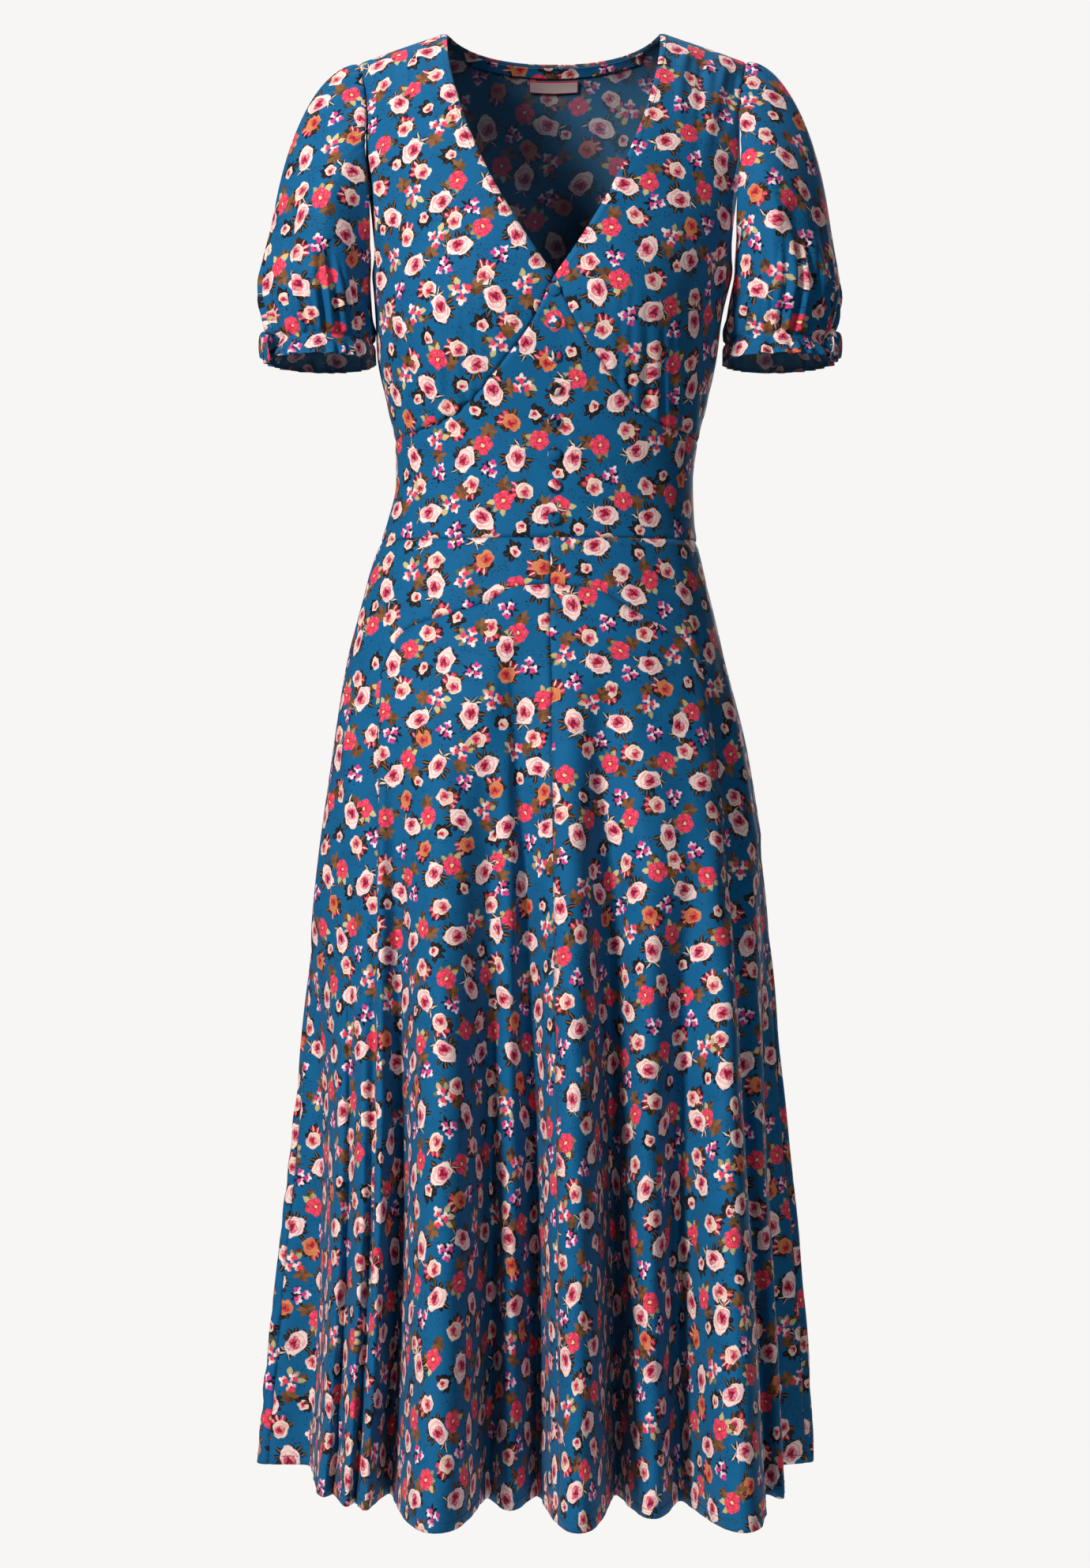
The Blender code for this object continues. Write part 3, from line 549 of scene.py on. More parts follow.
def scatterGroup():
    # one motif to a cell of a staggered lattice, moved and turned at random; the place is in millimetres
    gives = {"Place": "Vector", "Chance": "Float", "Other": "Float"}
    add, given, finished = newGroup(
        "scattered cells", gives, Flat="Vector", Cell="Float", Offset="Vector", Seed="Float"
    )
    scale = add("Math DIVIDE", 1000.0, given["Cell"])
    place = add("VectorMath ADD", add("VectorMath SCALE", given["Flat"], {3: scale}), given["Offset"])
    apart = add("SeparateXYZ", place).node.outputs
    row = add("Math FLOOR", apart[1])
    shift = add("Math MULTIPLY", row, rowSlant)
    across = add("Math ADD", apart[0], shift)
    column = add("Math FLOOR", across)
    number = add("CombineXYZ", column, row, given["Seed"])
    chance = add("TexWhiteNoise 3D", {"Vector": number}).node.outputs
    overX = add("Math SUBTRACT", across, column)
    overY = add("Math SUBTRACT", apart[1], row)
    inCell = add("CombineXYZ", overX, overY)
    centre = add("VectorMath MULTIPLY_ADD", chance[1], (0.20, 0.20, 0), (0.40, 0.40, 0))
    local = add("VectorMath SCALE", add("VectorMath SUBTRACT", inCell, centre), {3: given["Cell"]})
    second = add("SeparateXYZ", chance[1]).node.outputs
    angle = add("Math MULTIPLY", second[2], fullSwing)
    local = add("VectorRotate Z_AXIS", {"Vector": local, "Angle": angle})
    drift = add("VectorMath MULTIPLY", chance[1], (90.0, 90.0, 90.0))
    apartAgain = add("SeparateXYZ", drift).node.outputs
    flatPlace = add("SeparateXYZ", local).node.outputs
    local = add("CombineXYZ", flatPlace[0], flatPlace[1], apartAgain[0])
    return finished(Place=local, Chance=chance[0], Other=second[1])


# every length in the print is in millimetres
printColors = {
    "ground": "#036599",
    "groundDeep": "#025a8a",
    "ink": "#10131d",
    "rosePale": "#fbe7e0",
    "rosePink": "#dc4d70",
    "roseHeart": "#8f0f33",
    "creamPale": "#f6e3d2",
    "creamPink": "#d95e73",
    "creamHeart": "#ad1a3c",
    "amberPale": "#d98f5c",
    "amberRed": "#cf4444",
    "amberHeart": "#a5182f",
    "coral": "#ee3f5f",
    "coralDeep": "#b3153c",
    "eye": "#f7d79c",
    "magenta": "#dd3c8c",
    "blossomPale": "#fce8f1",
    "brown": "#452a18",
    "tan": "#8d5f35",
    "olive": "#3c4526",
    "straw": "#cfc48c",
}

printSizes = {
    "cell": 47.0,
    "rose": 8.5,
    "creamRose": 6.9,
    "smallRose": 4.4,
    "camellia": 8.0,
    "blossom": 3.8,
    "cluster": 4.4,
}

# the layers share one slanting lattice: each lies a quarter row further down than the last
rowSlant = 0.38
fullSwing = 6.3  # radians that a motif may turn
layerPlaces = [(-rowSlant * row / 4 - 0.5 * (row % 2), row / 4) for row in range(4)]


def printGroup():
    add, given, finished = newGroup("floral print", {"Color": "Color"}, Flat="Vector")
    rose, camellia, leaves, blossom, cells = (
        roseGroup(), camelliaGroup(), leavesGroup(), blossomGroup(), scatterGroup()
    )
    ink, flat = printColors, given["Flat"]

    def scattered(layer, seed):
        sockets = {"Flat": flat, "Cell": printSizes["cell"], "Offset": (*layerPlaces[layer], 0), "Seed": seed}
        return add("Group", sockets, node_tree=cells).node.outputs

    def when(chance, low, high):
        # 1 where the chance falls between two limits
        return add("Math MULTIPLY", add("Math GREATER_THAN", chance, low), add("Math LESS_THAN", chance, high))

    def over(color, motif, shown=1.0, **sockets):
        # paints a motif over the colours so far; its own colours go by their names in the print
        sockets = {key: ink[value] if isinstance(value, str) else value for key, value in sockets.items()}
        painted = add("Group", sockets, node_tree=motif).node.outputs
        return add("Mix RGBA", add("Math MULTIPLY", painted["Cover"], shown), color, painted["Color"])

    def fan(color, aside, seed, shape, dark, light, vein, shown=1.0):
        # leaves round a stem; shape is their count, start, length, width and the sector that they fill
        stem = add("VectorMath SUBTRACT", place, (*aside, 0)) if aside else place
        sizes = dict(zip(("Count", "Start", "Length", "Width", "Sector"), shape))
        return over(color, leaves, shown, Place=stem, Seed=seed, Dark=dark, Light=light, Vein=vein, **sizes)

    # the dyed ground, with a scatter of small ink marks
    millimetres = add("VectorMath SCALE", flat, {3: 1000.0})
    cloudy = add("TexNoise", {"Vector": millimetres, "Scale": 0.035, "Detail": 2.0})
    color = add("Mix RGBA", cloudy, ink["ground"], ink["groundDeep"])
    fine = add("TexNoise", {"Vector": millimetres, "Scale": 0.62, "Detail": 2.0, "Roughness": 0.7})
    patchy = add("TexNoise", {"Vector": millimetres, "Scale": 0.075})
    marks = add("Math MULTIPLY", add("MapRange", fine, 0.585, 0.625), add("MapRange", patchy, 0.50, 0.55))
    color = add("Mix RGBA", marks, color, ink["ink"])

    # pink blossom sprays and small cream roses
    place, chance, other = scattered(0, 3.0)
    small = when(chance, 0.56, 1.0)
    color = fan(color, (3.0, -1.0), other, (7.0, 0.4, 9.0, 5.5, 0.50), "ink", "ink", "ink")
    color = over(
        color, blossom, when(chance, -1.0, 0.56), Place=place, Count=3.0, Reach=4.3,
        Size=printSizes["blossom"], Tip="magenta", Petal="blossomPale", Eye="roseHeart",
    )
    color = fan(color, None, other, (8.0, 2.4, 8.0, 11.0, 0.36), "ink", "ink", "brown", small)
    color = over(
        color, rose, small, Place=place, Size=printSizes["smallRose"],
        Rim="creamPale", Petal="creamPink", Heart="creamHeart",
    )

    # middling roses, cream or amber, on dark leaves
    place, chance, other = scattered(1, 11.0)
    color = fan(color, (6.5, 3.0), other, (7.0, 0.3, 8.4, 10.0, 0.50), "ink", "ink", "brown")
    color = fan(color, None, other, (9.0, 4.4, 8.2, 11.0, 0.28), "ink", "brown", "tan")
    color = fan(color, None, chance, (13.0, 6.5, 7.0, 8.0, 0.10), "coral", "coralDeep", "rosePale")
    amber = when(other, 0.84, 1.0)
    shades = {}
    for part, cream, warm in (("Rim", "Pale", "Pale"), ("Petal", "Pink", "Red"), ("Heart", "Heart", "Heart")):
        shades[part] = add("Mix RGBA", amber, ink["cream" + cream], ink["amber" + warm])
    color = over(color, rose, Place=place, Size=printSizes["creamRose"], **shades)

    # open camellias with olive leaves and a brown sprig, or a cluster of coral and white
    place, chance, other = scattered(2, 23.0)
    color = fan(color, (-9.0, -7.5), chance, (7.0, 0.3, 8.6, 8.0, 0.50), "brown", "tan", "tan")
    color = fan(color, (9.5, -6.0), other, (11.0, 0.2, 4.4, 9.0, 0.50), "ink", "brown", "tan")
    color = fan(color, None, other, (9.0, 4.8, 9.0, 10.0, 0.22), "olive", "straw", "straw")
    color = over(
        color, blossom, when(chance, 0.64, 1.0), Place=place, Count=3.0, Reach=4.8,
        Size=printSizes["cluster"], Tip="coral", Petal="rosePale", Eye="coralDeep",
    )
    color = over(
        color, camellia, when(chance, -1.0, 0.64), Place=place, Size=printSizes["camellia"],
        Petal="coral", Shade="coralDeep", Eye="eye",
    )

    # the largest roses, pink and white, each with an inky stem on one side
    place, chance, other = scattered(3, 31.0)
    color = fan(color, (-9.5, 2.0), other, (8.0, 0.3, 8.6, 8.0, 0.50), "ink", "ink", "creamPale")
    color = fan(color, None, chance, (12.0, 5.6, 9.8, 9.0, 0.30), "ink", "ink", "tan")
    color = fan(color, None, other, (11.0, 6.0, 6.6, 9.0, 0.09), "amberRed", "brown", "amberPale")
    stretched = add("VectorMath MULTIPLY", place, (0.86, 1.06, 1.0))
    color = over(
        color, rose, Place=stretched, Size=printSizes["rose"],
        Rim="rosePale", Petal="rosePink", Heart="roseHeart",
    )
    return finished(Color=color)


# plain-woven viscose, roller printed: matt and soft, with a faint crosswise slub and a little
# bloom at grazing angles
viscose = {
    "Roughness": 0.78,
    "Specular IOR Level": 0.2,
    "Sheen Weight": 0.05,
    "Sheen Roughness": 0.45,
    "slubLength": 3.0,  # mm
    "slubWidth": 0.55,  # mm, coarser than the thread so that it shows
    "slubHeight": 0.00012,
    "crushSize": 14.0,  # mm between the soft dents of worn cloth
    "crushHeight": 0.0009,
}


def printedViscose(name, design, wrongSide=False):
    material = bpy.data.materials.new(name)
    material.use_nodes = True
    tree = material.node_tree
    add, shader = functools.partial(addNode, tree), tree.nodes["Principled BSDF"]
    flat = add("UVMap", uv_map="Cloth")
    color = add("Group", {"Flat": flat}, node_tree=design).node.outputs[0]
    if wrongSide:  # the wrong side: the design shows through duller and bluer, and it is also darkened as painted shade for the shaded inside of the dress
        # this mix toward a dark grey-blue is partly the duller show-through of the print and partly painted
        # shade
        color = add("Mix RGBA", 0.62, color, "#35566e")
    tree.links.new(color, shader.inputs["Base Color"])
    for socket in ("Roughness", "Specular IOR Level", "Sheen Weight", "Sheen Roughness"):
        shader.inputs[socket].default_value = viscose[socket]
    threads = (1000 / viscose["slubLength"], 1000 / viscose["slubWidth"], 1.0)
    slub = add("VectorMath MULTIPLY", flat, threads)
    slub = add("TexNoise", {"Vector": slub, "Scale": 1.0, "Detail": 2.0})
    bump = add("Bump", {"Height": slub, "Strength": 0.7, "Distance": viscose["slubHeight"]})
    crush = add("TexNoise", {"Vector": flat, "Scale": 1000 / viscose["crushSize"] / 2, "Detail": 1.0})
    bump = add("Bump", {"Height": crush, "Strength": 0.55, "Distance": viscose["crushHeight"], "Normal": bump})
    tree.links.new(bump, shader.inputs["Normal"])
    return material


def plainMaterial(name, code, roughness, sheen=0.0):
    material = bpy.data.materials.new(name)
    material.use_nodes = True
    shader = material.node_tree.nodes["Principled BSDF"]
    shader.inputs["Base Color"].default_value = linear(code)
    shader.inputs["Roughness"].default_value = roughness
    shader.inputs["Sheen Weight"].default_value = sheen
    return material


design = printGroup()
rightSide = printedViscose("printed viscose", design)
insideOut = printedViscose("printed viscose wrong side", design, wrongSide=True)
buttonCloth = printedViscose("printed viscose on button moulds", design)
labelTape = plainMaterial("woven satin label tape", "#b3a19f", 0.45, 0.1)
thread = plainMaterial("spun polyester thread", "#16486b", 0.6)
paleFloor = plainMaterial("matt painted board", "#f3f2f0", 0.85)
print("materials made")


cloth = {
    "thickness": 0.0007,
    "seamRoll": 0.0011,  # how far an edge turns in where it is sewn
    "seamReach": 0.0022,
    "flattenStep": 4,
}
allEdges = ("left", "right", "top", "bottom")


def outward(points):
    across, down = np.gradient(points, axis=1), np.gradient(points, axis=0)
    normal = np.cross(down, across)
    return normal / np.maximum(np.linalg.norm(normal, axis=-1, keepdims=True), 1e-12)


def pushed(points, distance):
    return points + outward(points) * np.asarray(distance)[..., None]


def lengths(points, axis):
    # how far each point lies along its row or column
    steps = np.linalg.norm(np.diff(points, axis=axis), axis=-1)
    return np.concatenate([np.zeros_like(steps.take([0], axis)), steps.cumsum(axis)], axis=axis)


def sewnEdges(points, *edges):
    # the cloth rolls in towards a seam at each named edge of the grid: left, right, top or bottom
    for edge in edges:
        axis = 1 if edge in ("left", "right") else 0
        along = lengths(points, axis)
        if edge in ("right", "bottom"):
            along = along.take([-1], axis) - along
        points = pushed(points, -cloth["seamRoll"] * np.exp(-((along / cloth["seamReach"]) ** 2)))
    return points


def creased(points, creases, axis=0, seed=1):
    # ridges and valleys drawn from one height to another: start, end, width, depth (under 0 is a valley)
    chance = np.random.default_rng(seed)
    at = points[..., axis], points[..., 2]
    total = np.zeros(points.shape[:2])
    for a0, z0, a1, z1, width, depth in creases:
        way = np.array([a1 - a0, z1 - z0])
        size = float(np.linalg.norm(way))
        way = way / size
        along = ((at[0] - a0) * way[0] + (at[1] - z0) * way[1]) / size
        aside = (at[0] - a0) * -way[1] + (at[1] - z0) * way[0]
        aside = aside + width * 0.5 * np.sin(along * 4 + chance.uniform(0, 6))
        fade = np.clip(along / 0.08, 0, 1) * np.clip(1 - along, 0, 1) ** 0.9
        shape = np.exp(-((aside / width) ** 2)) - 0.45 * np.exp(-(((aside - 1.5 * width) / width) ** 2))
        total += depth * fade * shape
    return pushed(points, total)


def unevenWaves(at, spacing, seed):
    # gathers of about one spacing, none quite like the next
    chance = np.random.default_rng(seed)
    total = np.zeros_like(at)
    for share in (0.72, 0.88, 1.0, 1.17, 1.37):
        total += np.sin(2 * math.pi * share * at / spacing + chance.uniform(0, 2 * math.pi))
    return total / 2.6


def gatherFolds(at, spacing, seed):
    # rounded ridges with sharp valleys between them
    at = at / spacing
    warped = at + 0.22 * np.sin(1.9 * at + seed)
    return 2 * np.abs(np.sin(math.pi * warped)) - 1.2


def quadCorners(table):
    # the four corners of every cell of a grid
    corners = (table[:-1, :-1], table[1:, :-1], table[1:, 1:], table[:-1, 1:])
    return np.stack(corners, axis=2).reshape(-1, 4, *table.shape[2:])


def joined(grids, welded=True):
    # a number for every point, shared where points meet; the points; and the faces
    known, places, numbers = {}, [], []
    for grid in grids:
        number = np.empty(grid.shape[:2], int)
        for place in np.ndindex(*grid.shape[:2]):
            key = tuple(np.round(grid[place], 6)) if welded else (len(numbers), *place)
            if key not in known:
                known[key] = len(places)
                places.append(tuple(grid[place]))
            number[place] = known[key]
        numbers.append(number)
    return numbers, places, np.concatenate([quadCorners(number) for number in numbers])


def laidFlat(grids, welded):
    # the panel pressed flat, as it was cut: a place in metres for every point
    step = cloth["flattenStep"]
    numbers, places, faces = joined([grid[::step, ::step] for grid in grids], welded)
    mesh = bpy.data.meshes.new("cut")
    mesh.from_pydata(places, [], faces.tolist())
    cut = inScene("cut", mesh)
    bpy.ops.object.select_all(action="DESELECT")
    cut.select_set(True)
    bpy.context.view_layer.objects.active = cut
    bpy.ops.object.mode_set(mode="EDIT")
    bpy.ops.mesh.select_all(action="SELECT")
    bpy.ops.uv.unwrap(method="ANGLE_BASED", margin=0.0)
    bpy.ops.object.mode_set(mode="OBJECT")
    corner = np.empty(len(mesh.loops), np.int32)
    mesh.loops.foreach_get("vertex_index", corner)
    layer = mesh.uv_layers.active
    uv = np.empty(len(mesh.loops) * 2, np.float32)
    layer.uv.foreach_get("vector", uv)
    flat = np.zeros((len(places), 2))
    flat[corner] = uv.reshape(-1, 2)
    area = sum(polygon.area for polygon in mesh.polygons)
    quads = flat[faces]
    one, two = quads[:, 2] - quads[:, 0], quads[:, 3] - quads[:, 1]
    flatArea = np.abs(one[:, 0] * two[:, 1] - one[:, 1] * two[:, 0]).sum() / 2
    flat *= math.sqrt(area / flatArea)
    bpy.data.objects.remove(cut, do_unlink=True)

    # the middle of the first grid hangs straight down
    number = numbers[0]
    middle = number[:, number.shape[1] // 2]
    way = flat[middle[-1]] - flat[middle[0]]
    turn = -math.pi / 2 - math.atan2(way[1], way[0])
    spin = np.array([[math.cos(turn), -math.sin(turn)], [math.sin(turn), math.cos(turn)]])
    flat = (flat - flat[middle[0]]) @ spin.T
    span = np.ptp(flat, axis=0)
    made = []
    for grid, number in zip(grids, numbers):
        coarseFlat = flat[number]
        rows = np.arange(grid.shape[0]) / step
        columns = np.arange(grid.shape[1]) / step
        r = np.minimum(rows.astype(int), coarseFlat.shape[0] - 2)
        c = np.minimum(columns.astype(int), coarseFlat.shape[1] - 2)
        u, v = (columns - c)[None, :, None], (rows - r)[:, None, None]
        above = coarseFlat[r][:, c] * (1 - u) + coarseFlat[r][:, c + 1] * u
        below = coarseFlat[r + 1][:, c] * (1 - u) + coarseFlat[r + 1][:, c + 1] * u
        made.append(above * (1 - v) + below * v)
    return made, span, area


def madeCloth(name, node, grids, flats, shift, faces=None):
    # a thin wall on the grids, joined where they share points, with the print laid on from the flat cut
    _, places, quads = joined(grids)
    cornerFlat = np.concatenate([quadCorners(np.asarray(flat) + shift) for flat in flats])
    mesh = bpy.data.meshes.new(name)
    mesh.from_pydata(places, [], quads.tolist())
    layer = mesh.uv_layers.new(name="Cloth")
    layer.uv.foreach_set("vector", cornerFlat.astype(np.float32).ravel())
    mesh.shade_smooth()
    for material in faces or (rightSide, insideOut):
        mesh.materials.append(material)
    made = inScene(name, mesh)
    wall = made.modifiers.new("cloth wall", "SOLIDIFY")
    wall.thickness = cloth["thickness"]
    wall.offset = 0
    wall.material_offset = 1
    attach(made, "root")
    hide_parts(node)
    return made


def clothPiece(node, smoothGrids, grids, shift, welded=True, faces=None):
    flats, span, area = laidFlat(smoothGrids, welded)
    made = madeCloth(node + "_cloth", node, grids, flats, np.array(shift), faces)
    print(node, "cut from", [round(float(s), 3) for s in span], "area", round(float(area), 4))


bodice = {
    "columns": 96,
    "rows": 112,
    "gatherAcross": 0.084,  # middle of the gathers under each bust
    "gatherSpread": 0.031,
    "gatherRise": 0.085,
    "gatherSpacing": 0.0118,
    "gatherDepth": 0.0034,
    "gatherFan": 2.2,  # how fast they spread as they rise
    "gatherSeeds": {"left": 5, "right": 9},
    "frontCreases": {
        "left": (
            (0.112, -0.020, 0.098, -0.110, 0.0050, 0.0026),
            (0.127, -0.024, 0.112, -0.130, 0.0042, -0.0030),
            (0.140, -0.030, 0.126, -0.120, 0.0040, 0.0024),
            (0.152, -0.036, 0.138, -0.100, 0.0034, -0.0022),
            (0.128, -0.205, 0.104, -0.300, 0.0060, 0.0016),
            (0.140, -0.190, 0.118, -0.262, 0.0045, -0.0018),
            (0.030, -0.240, 0.062, -0.300, 0.0060, 0.0010),
        ),
        "right": (
            (-0.118, -0.020, -0.112, -0.090, 0.0036, -0.0030),
            (-0.104, -0.018, -0.094, -0.105, 0.0046, 0.0024),
            (-0.134, -0.026, -0.126, -0.100, 0.0040, 0.0022),
            (-0.148, -0.034, -0.140, -0.090, 0.0034, -0.0020),
            (-0.140, -0.195, -0.112, -0.280, 0.0055, 0.0016),
            (-0.132, -0.230, -0.118, -0.320, 0.0040, -0.0015),
            (-0.026, -0.238, -0.058, -0.296, 0.0060, 0.0010),
        ),
    },
    "backCreases": (
        (-0.100, -0.060, -0.080, -0.170, 0.0090, 0.0020),
        (0.104, -0.055, 0.086, -0.150, 0.0080, 0.0018),
        (0.060, -0.250, 0.040, -0.335, 0.0060, 0.0016),
        (-0.070, -0.240, -0.046, -0.335, 0.0065, 0.0015),
        (0.020, -0.270, 0.012, -0.335, 0.0050, 0.0010),
    ),
    "topstitch": 0.006,
}

needlework = []  # every line of stitches, as points a little off the cloth


def panel(turn, height, face, side=1):
    turn = math.pi - turn if face == "back" else turn
    points = onForm(side * turn, height)
    return points if side > 0 else points[:, ::-1]


def insetLine(points, edge, distance, lift=0.0005):
    # the line that lies a distance in from one edge of a panel, just off its face
    axis = 1 if edge in ("left", "right") else 0
    raised = pushed(points, np.full(points.shape[:2], lift))
    along = lengths(points, axis)
    if axis == 0:
        raised, along = raised.transpose(1, 0, 2), along.T
    if edge in ("right", "bottom"):
        along = along[:, -1:] - along
    line = []
    for row, place in zip(raised, along):
        order = np.argsort(place)
        line.append([np.interp(distance, place[order], row[order, k]) for k in range(3)])
    return np.array(line)


across = np.linspace(0, 1, bodice["columns"] + 1)
down = np.linspace(0, 1, bodice["rows"] + 1)
turn, height = patch(shoulderSeam, underBust, neckline, armholeAndSide("front"), across, down)
for side, name in ((1, "left"), (-1, "right")):
    flatPanel = panel(turn, height, "front", side)
    up = lengths(flatPanel, 0)
    up = up[-1:] - up
    beside = flatPanel[..., 0] - side * bodice["gatherAcross"] - form["centre"]
    fanned = beside * (1 + bodice["gatherFan"] * up)
    gathers = gatherFolds(fanned, bodice["gatherSpacing"], bodice["gatherSeeds"][name])
    gathers *= np.exp(-((beside / bodice["gatherSpread"]) ** 2))
    gathers *= np.clip(1 - up / bodice["gatherRise"], 0, 1) ** 1.3
    points = pushed(flatPanel, gathers * bodice["gatherDepth"])
    points = creased(points, bodice["frontCreases"][name], seed=3)
    neckEdge, sideEdge = ("left", "right") if side > 0 else ("right", "left")
    points = sewnEdges(points, neckEdge, sideEdge, "top", "bottom")
    needlework.append(("bodice_front_" + name, insetLine(points, neckEdge, bodice["topstitch"])))
    clothPiece(
        "bodice_front_" + name, [flatPanel], [points], (0.30 * side, 0.11)
    )


def centreBack(share):
    return pairs(0.0, -form["backNeck"] + (form["midriffSide"] + form["backNeck"]) * np.asarray(share, float))


def backHem(share):
    return pairs(np.asarray(share, float) * math.pi / 2, form["midriffSide"])


turn, height = patch(backTop, backHem, centreBack, armholeAndSide("back"), across[::2], down)
half, other = (panel(turn, height, "back", side)[:, ::-1] for side in (1, -1))
flatPanel = np.concatenate([half, other[:, 1:]], axis=1)
points = creased(flatPanel, bodice["backCreases"], seed=4)
points = sewnEdges(points, *allEdges)
backPanel = points
clothPiece("bodice_back", [flatPanel], [points], (0.05, 0.42))
print("bodice made")


midriff = {
    "rows": 40,
    "columns": 96,
    "frontCreases": (
        (-0.112, -0.345, -0.090, -0.412, 0.0045, 0.0010),
        (0.106, -0.342, 0.092, -0.410, 0.0045, 0.0010),
        (0.020, -0.330, 0.012, -0.400, 0.0060, 0.0006),
        (-0.030, -0.320, -0.020, -0.390, 0.0060, 0.0006),
    ),
}

share = np.linspace(0, 1, midriff["rows"] + 1)[:, None]
turn = np.linspace(-math.pi / 2, math.pi / 2, midriff["columns"] + 1)
top = underBust(np.abs(turn) / (math.pi / 2))[:, 1]
bottom = waistHeight(rim(form["waist"], turn)[1])
flatPanel = onForm(turn[None], top + (bottom - top) * share)
points = creased(flatPanel, midriff["frontCreases"], seed=6)
points = sewnEdges(points, *allEdges)
frontMidriff = points
clothPiece("midriff_front", [flatPanel], [points], (0.02, 0.93))

turn = np.linspace(math.pi / 2, 3 * math.pi / 2, midriff["columns"] + 1)
flatPanel = onForm(turn[None], form["midriffSide"] + (form["waist"] - form["midriffSide"]) * share)
points = sewnEdges(flatPanel, *allEdges)
clothPiece("midriff_back", [flatPanel], [points], (0.71, 0.53))
print("midriff made")


skirt = {
    "perFold": 12,  # columns from a crest to the next trough
    "yokeRows": 16,
    "rows": 136,
    "softSpacing": 0.034,
    "softDepth": 0.0006,
    "hemStitch": 0.007,
    "shifts": {"left": (0.38, 0.27), "right": (1.13, 0.64)},
}


def columnsBetween(first, last):
    n = skirt["perFold"]
    return np.arange(round(n * first), round(n * last) + 1) / n


def rowsTo(top, bottom, rows):
    return top + (bottom - top) * np.linspace(0, 1, rows + 1)[:, None]


def worn(points, edges, seed):
    # soft uneven waves that die out at the sewn edges
    along, fallen = lengths(points, 1), lengths(points, 0)
    soft = unevenWaves(along + 0.05 * np.sin(9 * fallen), skirt["softSpacing"], seed)
    soft *= np.clip(fallen / 0.10, 0, 1) * skirt["softDepth"]
    points = pushed(points, soft)
    return sewnEdges(points, *edges)


def waistline(places):
    return waistHeight(onSkirt(places, form["waist"])[:, 1])


def frontOfSkirt(name, sideSeam, fold, shift):
    middle = seams["centreFront"]
    inner = columnsBetween(*sorted((middle, fold)))
    outer = columnsBetween(*sorted((fold, sideSeam)))
    seam = smooth(yokeRows, "height", (inner - middle) / (fold - middle))
    strip = onSkirt(inner[None], rowsTo(waistline(inner), seam, skirt["yokeRows"]))
    above = rowsTo(waistline(outer), form["yokeEnd"], skirt["yokeRows"])
    below = rowsTo(np.full(len(outer), form["yokeEnd"]), form["hem"], skirt["rows"])[1:]
    flank = onSkirt(outer[None], np.concatenate([above, below]))

    right = fold < middle
    shared, edge = (0, -1) if right else (-1, 0)
    near, far = ("right", "left") if right else ("left", "right")
    yokeWorn = sewnEdges(strip, near, "top", "bottom")
    flankWorn = worn(flank, (far, "top"), 31)
    rolled = sewnEdges(flankWorn, near)
    kept = skirt["yokeRows"] + 1
    flankWorn[kept:] = rolled[kept:]
    yokeWorn[:, shared] = flankWorn[:kept, edge]
    needlework.append(("skirt_side_" + name, insetLine(flankWorn, "bottom", skirt["hemStitch"])))
    clothPiece(
        "skirt_side_" + name, [flank, strip], [flankWorn, yokeWorn],
        (shift[0] + 0.19, shift[1]),
    )

    flared = onSkirt(inner[None], rowsTo(seam, form["hem"], skirt["rows"]))
    flaredWorn = worn(flared, ("left", "right", "top"), 41)
    needlework.append(("skirt_front_" + name, insetLine(flaredWorn, "bottom", skirt["hemStitch"])))
    clothPiece("skirt_front_" + name, [flared], [flaredWorn], shift)


frontOfSkirt("right", seams["rightSide"], seams["rightFold"], skirt["shifts"]["right"])
frontOfSkirt("left", seams["leftSide"], seams["leftFold"], skirt["shifts"]["left"])
backs = (
    ("left", seams["leftSide"], seams["centreBack"]),
    ("right", seams["centreBack"], seams["allRound"] + seams["rightSide"]),
)
for name, first, last in backs:
    places = columnsBetween(first, last)
    flatPanel = onSkirt(places[None], rowsTo(waistline(places), form["hem"], skirt["rows"] + skirt["yokeRows"]))
    points = worn(flatPanel, ("left", "right", "top"), 51)
    needlework.append(("skirt_back_" + name, insetLine(points, "bottom", skirt["hemStitch"])))
    clothPiece(
        "skirt_back_" + name, [flatPanel], [points],
        (0.5 * len(name), 0.8),
    )
print("skirt made")


sleeve = {
    "perFace": 80,
    "tubeRows": 56,
    "cuffRows": 28,
    "cuffCentre": (0.186, -0.003, -0.252),
    "cuffHalfWidth": 0.0405,
    "cuffHalfDepth": 0.056,
    "frillDrop": 0.020,
    "frillFlare": 0.006,
    "ruffleSpacing": 0.0145,
    "ruffleDepth": 0.0038,
    "channel": 0.30,  # share of the drop below the sleeve taken by the tie's channel
    "headDepth": 0.0022,
    "headSpacing": 0.0105,
    "cuffDepth": 0.0040,
    "cuffSpacing": 0.0125,
    "tuckIn": {"left": 0.0038, "right": 0.0016},  # how much closer to the bodice the underside hangs
    "puff": 0.0048,  # how far the cloth blouses out over the cuff
    "radius": 0.055,  # at which the gathers are counted round
    "clearance": (0.0002, 0.0012),  # from the bodice at the shoulder, and more towards the underarm
    "grooveDepth": 0.0024,
    "stitchRise": 0.0135,  # above the hem
    "stitchLift": 0.0004,
    "calmUnder": 0.75,  # how much smaller the folds are next to the bodice
    "creases": {
        "left": (
            (0.196, -0.150, 0.212, -0.246, 0.0060, -0.0030),
            (0.176, -0.165, 0.190, -0.246, 0.0060, 0.0026),
            (0.214, -0.175, 0.222, -0.240, 0.0050, 0.0022),
        ),
        "right": (
            (-0.190, -0.160, -0.204, -0.246, 0.0065, 0.0026),
            (-0.208, -0.150, -0.214, -0.246, 0.0050, -0.0030),
            (-0.172, -0.180, -0.182, -0.246, 0.0060, -0.0026),
        ),
    },
}

